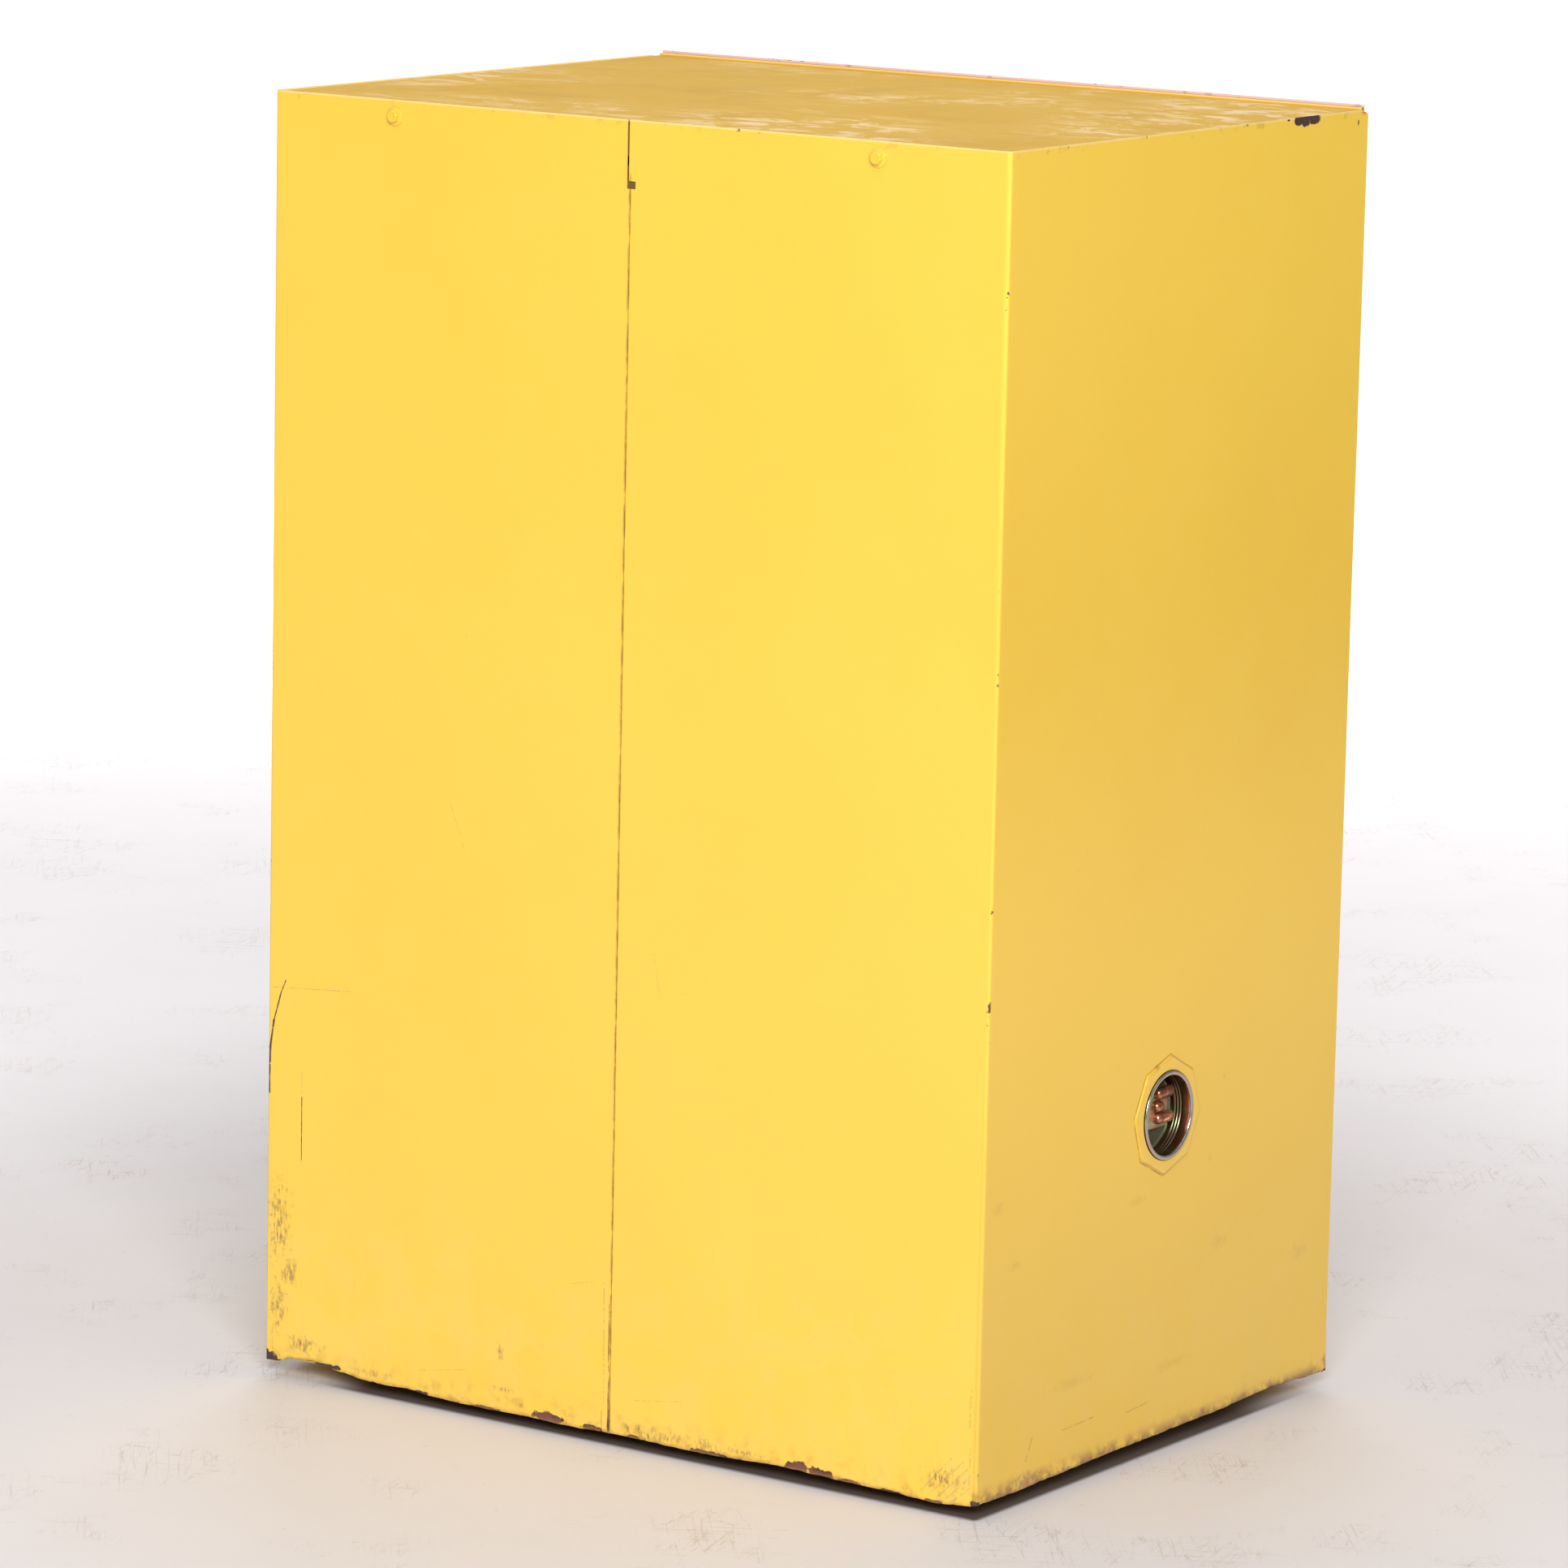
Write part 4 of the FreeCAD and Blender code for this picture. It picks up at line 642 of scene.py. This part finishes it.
# ---- mesh helpers ----
def piece(name, bm, node):
    """Make an object of a bmesh in place of a node, with that node's finish and body."""
    mesh = bpy.data.meshes.new(name)
    for face in bm.faces:
        face.smooth = True
    bm.to_mesh(mesh)
    bm.free()
    made = bpy.data.objects.new(name, mesh)
    bpy.context.scene.collection.objects.link(made)
    mesh.materials.append(FINISH[SLOT_OF[node]])
    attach(made, BODY_OF[node])
    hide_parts(node)
    return made


def weigh_normals(made):
    modifier = made.modifiers.new("even_shading", "WEIGHTED_NORMAL")
    modifier.keep_sharp = True
    modifier.weight = 80


MERGE_DISTANCE = 0.004 * MM
FLAT_ANGLE, SHARP_ANGLE = math.radians(0.6), math.radians(28)


def detailed(node, width):
    """A copy of a CAD node with its flat faces merged and its hard edges rounded over."""
    bm = bmesh.new()
    bm.from_mesh(frame["nodes"][node].data)
    bmesh.ops.remove_doubles(bm, verts=bm.verts, dist=MERGE_DISTANCE)
    bmesh.ops.dissolve_limit(bm, angle_limit=FLAT_ANGLE, verts=bm.verts, edges=bm.edges)
    hard = [e for e in bm.edges
            if len(e.link_faces) == 2 and e.calc_face_angle(0) > SHARP_ANGLE]
    layer = bm.faces.layers.float.new("edge")
    done = bmesh.ops.bevel(bm, geom=hard, offset=width * MM, offset_type="OFFSET",
                           segments=2, profile=0.5, affect="EDGES", clamp_overlap=True)
    for face in done["faces"]:
        if 2 * face.calc_area() < face.calc_perimeter() * width * MM:
            face[layer] = 1.0
    weigh_normals(piece(node + "_detailed", bm, node))


def ring_mesh(bm, profile, count, centre, axis, radius_at=None):
    """Turn a profile of (radius, distance) about an axis through centre; returns its rings."""
    turned = axis.to_track_quat("Z", "Y").to_matrix()
    rings = []
    for radius, far in profile:
        ring = []
        for n in range(count):
            angle = 2 * math.pi * n / count
            reach = radius_at(radius, angle, far) if radius_at else radius
            spot = Vector((reach * math.cos(angle), reach * math.sin(angle), far)) * MM
            ring.append(bm.verts.new(centre + turned @ spot))
        rings.append(ring)
    for low, high in zip(rings, rings[1:]):
        for n in range(count):
            following = (n + 1) % count
            bm.faces.new((low[n], low[following], high[following], high[n]))
    return rings


# ---- the two wrap panels ----
FOLD = 2.0 * MM
NOTCH_LOW, NOTCH_HIGH = TOP - 45 * MM, TOP - 40 * MM
FOOT_STEP = BOTTOM + 14 * MM
SEAM_EDGE = {
    -1: {"foot": -6.2, "main": 0.3, "notch": 4.2, "top": -1.1},
    1: {"foot": 6.8, "main": 0.3, "notch": 2.8, "top": 2.9},
}
CORNER_STEP = (FRONT + 9 * MM, TOP - 2.5 * MM)
BOSS_WINDOW = 48 * MM
BOSS_RISE, BOSS_HOLE, BOSS_SIDES = 1.6, 30.5, 96
# The boss from its outline in, as (inset, rise), and its lip as (wider than the hole, below the rise).
BOSS_SLOPE = ((0, 0), (0.2, 0.12), (0.7, 0.75), (1.15, 1.3), (1.5, 1.52), (2.0, BOSS_RISE))
BOSS_LIP = ((0.8, 0), (0.25, 0.1), (0, 0.4))
# How far the bottom edge is bent up, against x on the back and y from the front on the sides.
BENT_BACK = (
    (-295, 0.3), (-287, -1.0), (-262, -2.8), (-230, -1.9), (-181, -1.3), (-144, 0), (-73, -2.4),
    (-23, -1.8), (5, -1.6), (34, -2.6), (67, -2.0), (102, -2.5), (124, -2.4), (148, -1.7), (171, 0),
    (188, -0.5), (212, 0), (227, 2.1), (251, 6.0), (271, 5.1), (283, 1.0), (295, 0.5),
)
BENT_SIDE = ((0, 1.6), (78, 4.4), (153, 2.7), (275, 2.1), (354, 1.3), (404, 0.2), (440, 0.9))
BENT_HEIGHT = 70
LOW_ROWS = (0, 0.7, 1.6, 2.8, 4.4, 6.5, 9.2, 12)
COLUMN_STEP, BENT_STEP, PLAIN_STEP = 3.2 * MM, 8 * MM, 24 * MM
RIM_WIDTH, RIM_ANGLE = 0.28 * MM, math.radians(60)


def seam_edge(side, z):
    edges = SEAM_EDGE[side]
    if z < FOOT_STEP:
        return edges["foot"] * MM
    if z > NOTCH_HIGH:
        return edges["top"] * MM
    return edges["notch" if z > NOTCH_LOW else "main"] * MM


def along(table, place):
    """Smooth value of a table of (place, value) at a place."""
    for (a, low), (b, high) in zip(table, table[1:]):
        if place <= b:
            share = max(0.0, (place - a) / (b - a))
            share = share * share * (3 - 2 * share)
            return low + (high - low) * share
    return table[-1][1]


def knocked(spot):
    """Where a point of the skin lies after years of being pushed over floors."""
    above = (spot.z - BOTTOM) / MM
    if above > BENT_HEIGHT:
        return spot
    fade = (1 - above / BENT_HEIGHT) ** 2
    rag = noise.noise(spot * 140) * 0.5 * max(0.0, 1 - above / 5)
    spot = spot.copy()
    if spot.y > BACK - 3 * MM:
        lift = along(BENT_BACK, spot.x / MM)
        near = max(0.0, 1 - abs(spot.x / MM - 256) / 44)
        spot.y += (1.3 * near + 0.5 * noise.noise(Vector((spot.x * 9, 0, 3)))) * fade * MM
    else:
        lift = along(BENT_SIDE, (spot.y - FRONT) / MM)
        swell = 0.7 + 0.8 * noise.noise(Vector((spot.y * 11, 5, 1)))
        spot.x += math.copysign(max(0.0, swell) * fade * MM, spot.x)
    spot.z += (lift * fade + rag) * MM
    return spot


def stepped(low, high, step, *stops):
    """Places from low to high no further apart than step, with stops among them."""
    marks = sorted({low, high, *(s for s in stops if low < s < high)})
    places = [marks[0]]
    for a, b in zip(marks, marks[1:]):
        count = max(1, math.ceil((b - a) / step - 1e-6))
        places += [a + (b - a) * (n + 1) / count for n in range(count)]
    return places


def boss(bm, side, centre, window):
    """The octagon round a vent, and the sheet between it and its window in the grid."""
    def loop(reach_at, rise):
        made = []
        for n in range(BOSS_SIDES):
            angle = 2 * math.pi * n / BOSS_SIDES
            reach = reach_at(angle)
            made.append(bm.verts.new((side * (HALF + rise * MM),
                                      centre.y + reach * math.cos(angle) * MM,
                                      centre.z + reach * math.sin(angle) * MM)))
        return made

    def outline(inset, rise):
        def reach_at(angle):
            local = (angle - BOSS_TURN + math.pi / 8) % (math.pi / 4) - math.pi / 8
            return (BOSS_APOTHEM - inset) / math.cos(abs(local) - math.pi / 8)
        return loop(reach_at, rise)

    def circle(radius, rise):
        return loop(lambda angle: radius, rise)

    def bridge(a, b):
        for n in range(len(a)):
            bm.faces.new((a[n], a[(n + 1) % len(a)], b[(n + 1) % len(a)], b[n]))

    def closed(verts):
        return [bm.edges.get((a, b)) or bm.edges.new((a, b))
                for a, b in zip(verts, verts[1:] + verts[:1])]

    loops = [outline(inset, rise) for inset, rise in BOSS_SLOPE]
    loops += [circle(BOSS_HOLE + wider, BOSS_RISE - lower) for wider, lower in BOSS_LIP]
    for a, b in zip(loops, loops[1:]):
        bridge(a, b)
    bmesh.ops.triangle_fill(bm, use_beauty=True, edges=window + closed(loops[0]))


def wrap_panel(node, side, vent):
    """A side and half of the back, folded from one sheet, with its seam edge and its vent's boss."""
    rear = BACK - FOLD
    arc = [(HALF - FOLD + FOLD * math.cos(a), rear + FOLD * math.sin(a))
           for a in (math.radians(15 * n) for n in range(1, 6))]
    column = [(HALF, y) for y in stepped(FRONT, rear, COLUMN_STEP, CORNER_STEP[0],
                                         vent.y - BOSS_WINDOW, vent.y + BOSS_WINDOW)]
    column += arc
    edges = [edge * MM for edge in SEAM_EDGE[side].values()]
    column += [(s, BACK) for s in reversed(stepped(min(edges), HALF - FOLD, COLUMN_STEP, *edges))]
    rows = [BOTTOM + up * MM for up in LOW_ROWS]
    rows += stepped(FOOT_STEP, BOTTOM + BENT_HEIGHT * MM, BENT_STEP)
    rows += stepped(BOTTOM + BENT_HEIGHT * MM, TOP, PLAIN_STEP, NOTCH_LOW, NOTCH_HIGH, CORNER_STEP[1],
                    vent.z - BOSS_WINDOW, vent.z + BOSS_WINDOW)[1:]
    bm = bmesh.new()
    near_edge = bm.verts.layers.float.new("low")
    made = {}

    def vertex(i, j):
        if (i, j) not in made:
            s, y = column[i]
            made[i, j] = bm.verts.new(knocked(Vector((side * s, y, rows[j]))))
            made[i, j][near_edge] = max(0.0, 1 - (rows[j] - BOTTOM) / (BENT_HEIGHT * MM))
        return made[i, j]

    def in_sheet(i, j):
        s = (column[i][0] + column[i + 1][0]) / 2
        y = (column[i][1] + column[i + 1][1]) / 2
        z = (rows[j] + rows[j + 1]) / 2
        if y < CORNER_STEP[0] and z > CORNER_STEP[1]:
            return False
        if max(abs(y - vent.y), abs(z - vent.z)) < BOSS_WINDOW and s > HALF - 1e-6:
            return False
        return s > seam_edge(side, z) or y < BACK - 1e-6

    for i in range(len(column) - 1):
        for j in range(len(rows) - 1):
            if in_sheet(i, j):
                corners = [vertex(i, j), vertex(i + 1, j), vertex(i + 1, j + 1), vertex(i, j + 1)]
                bm.faces.new(corners if side > 0 else corners[::-1])
    window = [e for e in bm.edges if e.is_boundary and all(
        max(abs(v.co.y - vent.y), abs(v.co.z - vent.z)) < BOSS_WINDOW + 1e-5
        and abs(abs(v.co.x) - HALF) < 0.2 * MM for v in e.verts)]
    boss(bm, side, vent, window)
    bmesh.ops.recalc_face_normals(bm, faces=bm.faces)
    outside = max(bm.faces, key=lambda f: f.calc_center_median().x * side)
    if outside.normal.x * side < 0:
        bmesh.ops.reverse_faces(bm, faces=bm.faces)
    panel = piece(node + "_sheet", bm, node)
    sheet = panel.modifiers.new("sheet_gauge", "SOLIDIFY")
    sheet.thickness = GAUGE
    sheet.offset = -1
    rim = panel.modifiers.new("rim", "BEVEL")
    rim.width = RIM_WIDTH
    rim.segments = 2
    rim.limit_method = "ANGLE"
    rim.angle_limit = RIM_ANGLE
    weigh_normals(panel)


for vent_name, (vent_side, vent_middle) in VENTS.items():
    wrap_panel("left_wrap_panel" if vent_side < 0 else "right_wrap_panel", vent_side, vent_middle)


LAP_LEFT, LAP_RIGHT, LAP_SHORT = -14 * MM, 18 * MM, 30 * MM


def seam_lap():
    """The flange behind the back seam: it shows as the floor of the gap."""
    bm = bmesh.new()
    low = Vector((LAP_LEFT, BACK - 2 * GAUGE, BOTTOM + LAP_SHORT))
    high = Vector((LAP_RIGHT, BACK - GAUGE - 0.02 * MM, TOP - LAP_SHORT))
    bmesh.ops.create_cube(bm, size=1.0)
    for v in bm.verts:
        v.co = Vector(((low[k] + high[k]) / 2 + v.co[k] * (high[k] - low[k]) for k in range(3)))
    bmesh.ops.bevel(bm, geom=list(bm.edges), offset=0.2 * MM, segments=2, affect="EDGES", profile=0.5)
    weigh_normals(piece("seam_lap", bm, "left_wrap_panel"))


seam_lap()


# ---- hex washer screws ----
WASHER_RADIUS, WASHER_RISE, HEX_RADIUS, SCREW_SIDES = 6.5, 1.4, 4.5, 72


def hex_screw(name, node, centre, outward, turn):
    """centre lies on the sheet; the head stands 4 mm proud of it."""
    apothem = HEX_RADIUS * math.cos(math.pi / 6)

    def head_radius(radius, angle, far):
        local = (angle + turn) % (math.pi / 3) - math.pi / 6
        flat = apothem / math.cos(local)
        return min(radius, flat) if far > WASHER_RISE else radius

    bm = bmesh.new()
    profile = [(6.0, 0.0), (6.45, 0.15), (WASHER_RADIUS, 0.4), (6.4, 0.7), (6.0, 0.95), (5.4, 1.15),
               (4.9, 1.3), (4.6, 1.5), (HEX_RADIUS, 1.8), (HEX_RADIUS, 2.4), (HEX_RADIUS, 3.0),
               (4.35, 3.35), (4.1, 3.65), (3.8, 3.88),
               (3.4, 3.98), (3.0, 4.0), (2.4, 3.92), (1.6, 3.8), (0.6, 3.78)]
    rings = ring_mesh(bm, profile, SCREW_SIDES, centre, outward, head_radius)
    bm.faces.new(rings[-1])
    bm.faces.new(rings[0][::-1])
    bmesh.ops.recalc_face_normals(bm, faces=bm.faces)
    made = piece(name, bm, node)
    made.data.set_sharp_from_angle(angle=math.radians(38))


screw_low, screw_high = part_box("back_screws")
screw_z = (screw_low.z + screw_high.z) / 2
screw_x = screw_high.x - WASHER_RADIUS * MM
for label, place, turn in (("left", -screw_x, 0.2), ("right", screw_x, 0.75)):
    hex_screw(f"back_screw_{label}", "back_screws", Vector((place, BACK, screw_z)), Vector((0, 1, 0)), turn)
ground = middle("grounding_screw")
hex_screw("grounding_screw_head", "grounding_screw", Vector((HALF, ground.y, ground.z)),
          Vector((1, 0, 0)), 0.4)


# ---- vent plugs ----
CUP_INNER, CUP_OUTER, CUP_FLOOR, CUP_BACK, CUP_SIDES = 27.2, 28.4, 17.8, 19.0, 128
THREAD_START, THREAD_PITCH, THREAD_TURNS = 7.0, 2.2, 3


def vent_plug(name, side, centre):
    """A pressed cup: rolled rim, plain upper wall, rolled threads lower down, flat floor."""
    bm = bmesh.new()
    low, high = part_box(f"{name}_vent_plug")
    mouth = max(abs(low.x), abs(high.x))
    start = Vector((side * mouth, centre.y, centre.z))
    inward = Vector((-side, 0, 0))
    inside = [(28.1, 0.0), (27.55, 0.18), (27.25, 0.6), (CUP_INNER, 1.4), (CUP_INNER, 6.4)]
    ridges = [THREAD_START + THREAD_PITCH * n for n in range(THREAD_TURNS)]
    for ridge in ridges:
        inside += [(CUP_INNER, ridge), (27.5, ridge + 0.35), (27.75, ridge + 0.95), (27.5, ridge + 1.55),
                   (CUP_INNER, ridge + 1.9)]
    inside += [(CUP_INNER, 14.6), (27.15, 16.2), (26.7, 17.2), (25.8, 17.75)]
    inside += [(radius, CUP_FLOOR) for radius in (24.5, 18.0, 10.0, 2.0)]
    rim = [(CUP_OUTER, 1.25), (29.7, 1.22), (30.1, 1.0), (30.2, 0.6), (30.1, 0.25), (29.75, 0.05),
           (29.1, 0.0)]
    wall = [(2.0, CUP_BACK), (27.0, CUP_BACK), (28.1, 18.4), (CUP_OUTER, 17.4), (CUP_OUTER, 14.4)]
    for ridge in reversed(ridges):
        wall += [(CUP_OUTER, ridge + 1.9), (28.9, ridge + 1.2), (28.9, ridge + 0.7), (CUP_OUTER, ridge)]
    rings = ring_mesh(bm, wall + rim + inside, CUP_SIDES, start, inward)
    bm.faces.new(rings[0])
    bm.faces.new(rings[-1])
    bmesh.ops.recalc_face_normals(bm, faces=bm.faces)
    made = piece(f"{name}_vent_plug_cup", bm, f"{name}_vent_plug")
    made.data.set_sharp_from_angle(angle=math.radians(50))


PAD_HALF, PAD_SOFT = 12.0, 1.6
LUG_RADIUS, LUG_PITCH, LUG_RISE, LUG_SIDES = 4.0, 8.5, 1.8, 32
SHORT_LUG = (-8, 2)


def plug_lugs(name, side, centre):
    """Wrench lugs: three rolled bars with round ends on a raised pad in the cup's floor."""
    node = f"{name}_plug_lugs"
    low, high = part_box(node)
    outer = max(abs(low.x), abs(high.x)) / MM
    inner = min(abs(low.x), abs(high.x)) / MM
    lug_x = outer - LUG_RADIUS
    middle_z = high.z / MM - LUG_RADIUS - LUG_PITCH
    bm = bmesh.new()

    def block(*spans):
        made = bmesh.ops.create_cube(bm, size=1.0)["verts"]
        for v in made:
            v.co = Vector([((a + b) / 2 + v.co[k] * (b - a)) * MM for k, (a, b) in enumerate(spans)])
        edges = dict.fromkeys(e for v in made for e in v.link_edges)
        bmesh.ops.bevel(bm, geom=list(edges), offset=PAD_SOFT * MM, segments=4, affect="EDGES", profile=0.5)

    def bar(y_start, y_end, z):
        """A rod along Y with rounded ends."""
        profile = [(0.6, 0.02), (1.9, 0.35), (3.0, 1.1), (3.7, 2.2), (LUG_RADIUS, 3.6)]
        length = y_end - y_start
        profile += [(r, length - far) for r, far in reversed(profile)]
        start = Vector((side * lug_x, y_start, z)) * MM
        rings = ring_mesh(bm, profile, LUG_SIDES, start, Vector((0, 1, 0)))
        bm.faces.new(rings[0])
        bm.faces.new(rings[-1])

    pad_top = lug_x - LUG_RISE
    block(sorted((side * inner, side * pad_top)), (low.y / MM + 1, high.y / MM),
          (centre.z / MM - PAD_HALF, centre.z / MM + PAD_HALF))
    bar(low.y / MM, centre.y / MM, middle_z + LUG_PITCH)
    bar(low.y / MM, centre.y / MM, middle_z - LUG_PITCH)
    bar(centre.y / MM + SHORT_LUG[0], centre.y / MM + SHORT_LUG[1], middle_z)
    bmesh.ops.recalc_face_normals(bm, faces=bm.faces)
    made = piece(f"{node}_stamped", bm, node)
    made.data.set_sharp_from_angle(angle=math.radians(60))


for vent_name, (vent_side, vent_middle) in VENTS.items():
    vent_plug(vent_name, vent_side, vent_middle)
    plug_lugs(vent_name, vent_side, vent_middle)


# ---- pieces that keep their shape, with rounded edges ----
# Each node's edge width, in millimetres.
ROUNDED = {
    "top_panel": 0.4, "front_header": 0.4, "front_sill": 0.4, "hinge_jamb": 0.4, "latch_jamb": 0.4,
    "bottom_pan": 0.4, "liner_left_side": 0.3, "liner_right_side": 0.3, "liner_back": 0.3,
    "liner_top": 0.3, "sump_pan": 0.35, "shelf_standards": 0.4, "shelf_clips": 0.4, "shelf": 0.4,
    "frame_hinge_leaf": 0.25, "door_hinge_leaf": 0.25, "door_outer_skin": 0.4, "door_inner_pan": 0.4,
    "escutcheon": 0.25, "handle_lever": 0.5, "lock_barrel": 0.3, "lock_plug": 0.2,
    "escutcheon_screws": 0.25, "top_rod": 0.3, "bottom_rod": 0.3, "latch_cam": 0.3,
    "spindle_bush": 0.3,
}
for kind in ("lock_nut", "foot"):
    ROUNDED.update({f"{kind}_{corner}": 0.4
                    for corner in ("front_left", "front_right", "rear_left", "rear_right")})
for node, width in ROUNDED.items():
    detailed(node, width)
for node, kept in frame["nodes"].items():
    for slot in kept.material_slots:
        slot.link = "OBJECT"
        slot.material = FINISH[SLOT_OF[node]]


# ---- floor, lights and camera ----
def floor():
    bm = bmesh.new()
    bmesh.ops.create_grid(bm, x_segments=8, y_segments=8, size=40)
    mesh = bpy.data.meshes.new("studio_floor")
    bm.to_mesh(mesh)
    bm.free()
    made = bpy.data.objects.new("studio_floor", mesh)
    bpy.context.scene.collection.objects.link(made)
    g = Graph("pale_floor")
    x, y, _ = g.axes()
    mottle = g.noise(2.5, 6.0, 0.6)
    colour = g.mix(g.step(mottle, 0.2, 0.8), (0.665, 0.640, 0.660), (0.700, 0.675, 0.695))
    speck = g.step(g.noise(60.0, 4.0, 0.7), 0.64, 0.74)
    colour = g.over(colour, speck, 0.34, (0.46, 0.36, 0.31))
    for scales, turn in (((5, 130, 1), 0.9), ((130, 7, 1), -0.25), ((6, 90, 1), -0.5)):
        spun = g.node("ShaderNodeMapping", {"Vector": g.place, "Rotation": (0, 0, turn)})
        lines = g.noise(1.0, 2.0, 0.5, g.node("ShaderNodeMapping", {"Vector": spun, "Scale": scales}), 0.15)
        thin = g.step(g.size(g.less(lines, 0.5)), 0.012, 0.002)
        thin = g.times(thin, g.step(g.noise(7.0, 4.0), 0.52, 0.62))
        colour = g.over(colour, thin, 0.34, (0.42, 0.33, 0.29))
    # Painted shadow: the floor under the cabinet's footprint is tinted near black brown, stopping short of
    # the +X corner and fading towards the front.
    painted_shadow_beneath = g.times(g.step(x, -HALF - 2 * MM, -HALF + 4 * MM), g.step(x, HALF - 35 * MM, HALF - 85 * MM))
    painted_shadow_beneath = g.times(painted_shadow_beneath, g.step(g.size(g.less(y, MID_Y)),
                                      (BACK - FRONT) / 2 + 3 * MM, (BACK - FRONT) / 2 - 5 * MM))
    painted_shadow_beneath = g.times(painted_shadow_beneath, g.step(y, FRONT + 5 * MM, FRONT + 110 * MM))
    colour = g.over(colour, painted_shadow_beneath, 0.94, (0.080, 0.050, 0.040))
    reach = g.node("ShaderNodeVectorMath", {0: g.place}, out="Value", operation="LENGTH")
    seen = g.node("ShaderNodeLightPath", out="Is Camera Ray")
    # Painted shade for reflections and bounce light: past x = -1.62 m the floor is near black to every ray
    # except camera rays, which puts a dark band in the left side's gloss.
    dark_floor_for_reflections = g.times(g.step(x, -1.62, -1.90), g.invert(seen))
    colour = g.over(colour, dark_floor_for_reflections, 0.85, (0.05, 0.05, 0.05))
    near, far = g.step(reach, 0.60, 1.35), g.step(reach, 2.15, 3.75)
    glow = g.times(g.add(g.times(near, 0.20), g.times(far, 0.68)), seen)
    g.finish(Base_Color=colour, Roughness=0.7, Emission_Color=(1.0, 0.995, 0.995),
             Emission_Strength=glow)
    mesh.materials.append(g.material)


floor()


def soft_light(name, place, target, wide, tall, power, colour=(1, 1, 1)):
    data = bpy.data.lights.new(name, "AREA")
    data.shape = "RECTANGLE"
    data.size, data.size_y = wide, tall
    data.energy = power
    data.color = colour
    made = bpy.data.objects.new(name, data)
    bpy.context.scene.collection.objects.link(made)
    made.location = place
    made.rotation_euler = (Vector(target) - Vector(place)).to_track_quat("-Z", "Y").to_euler()
    return made


soft_light("key", (-3.3, 4.45, 2.9), (0, 0.1, 0.50), 2.8, 2.0, 370)
soft_light("overhead", (0, 0.4, 4.2), (0, 0, 0), 3.5, 3.5, 46)
fill = soft_light("fill_front", (2.2, -3.6, 2.0), (0, 0, 0.45), 2.6, 2.0, 105)
fill.visible_glossy = False

world = bpy.data.worlds.new("studio")
bpy.context.scene.world = world
world.use_nodes = True
tree = world.node_tree
tree.nodes.clear()
sky_seen, sky_lit = tree.nodes.new("ShaderNodeBackground"), tree.nodes.new("ShaderNodeBackground")
sky_seen.inputs[0].default_value = (1, 1, 1, 1)
sky_seen.inputs[1].default_value = 1.0
sky_lit.inputs[0].default_value = (1.0, 0.985, 0.97, 1)
sky_lit.inputs[1].default_value = 0.30
which = tree.nodes.new("ShaderNodeMixShader")
rays = tree.nodes.new("ShaderNodeLightPath")
tree.links.new(rays.outputs["Is Camera Ray"], which.inputs[0])
tree.links.new(sky_lit.outputs[0], which.inputs[1])
tree.links.new(sky_seen.outputs[0], which.inputs[2])
tree.links.new(which.outputs[0], tree.nodes.new("ShaderNodeOutputWorld").inputs[0])

bpy.context.scene.view_settings.view_transform = "Standard"
bpy.context.scene.view_settings.look = "None"

AZIMUTH, ELEVATION, ROLL = math.radians(214.688), math.radians(10.256), math.radians(1.2138)
DISTANCE, SHIFT_LEFT, SHIFT_DOWN = 5.0616, 0.01764, 0.02843
LENS, SENSOR, CLIP_END = 169.94, 36, 200
backward = Vector((math.sin(AZIMUTH) * math.cos(ELEVATION), -math.cos(AZIMUTH) * math.cos(ELEVATION),
                   math.sin(ELEVATION)))
right = (-backward).cross(Vector((0, 0, 1))).normalized()
upright = right.cross(-backward)
rolled_right = right * math.cos(ROLL) + upright * math.sin(ROLL)
rolled_up = upright * math.cos(ROLL) - right * math.sin(ROLL)
shell_middle = Vector((0, MID_Y, (BOTTOM + TOP) / 2))
camera_data = bpy.data.cameras.new("camera")
camera_data.lens = LENS
camera_data.sensor_width = SENSOR
camera_data.clip_end = CLIP_END
camera = bpy.data.objects.new("camera", camera_data)
bpy.context.scene.collection.objects.link(camera)
camera.matrix_world = Matrix.Translation(
    shell_middle + backward * DISTANCE - rolled_right * SHIFT_LEFT - rolled_up * SHIFT_DOWN
) @ Matrix((rolled_right, rolled_up, backward)).transposed().to_4x4()
bpy.context.scene.camera = camera
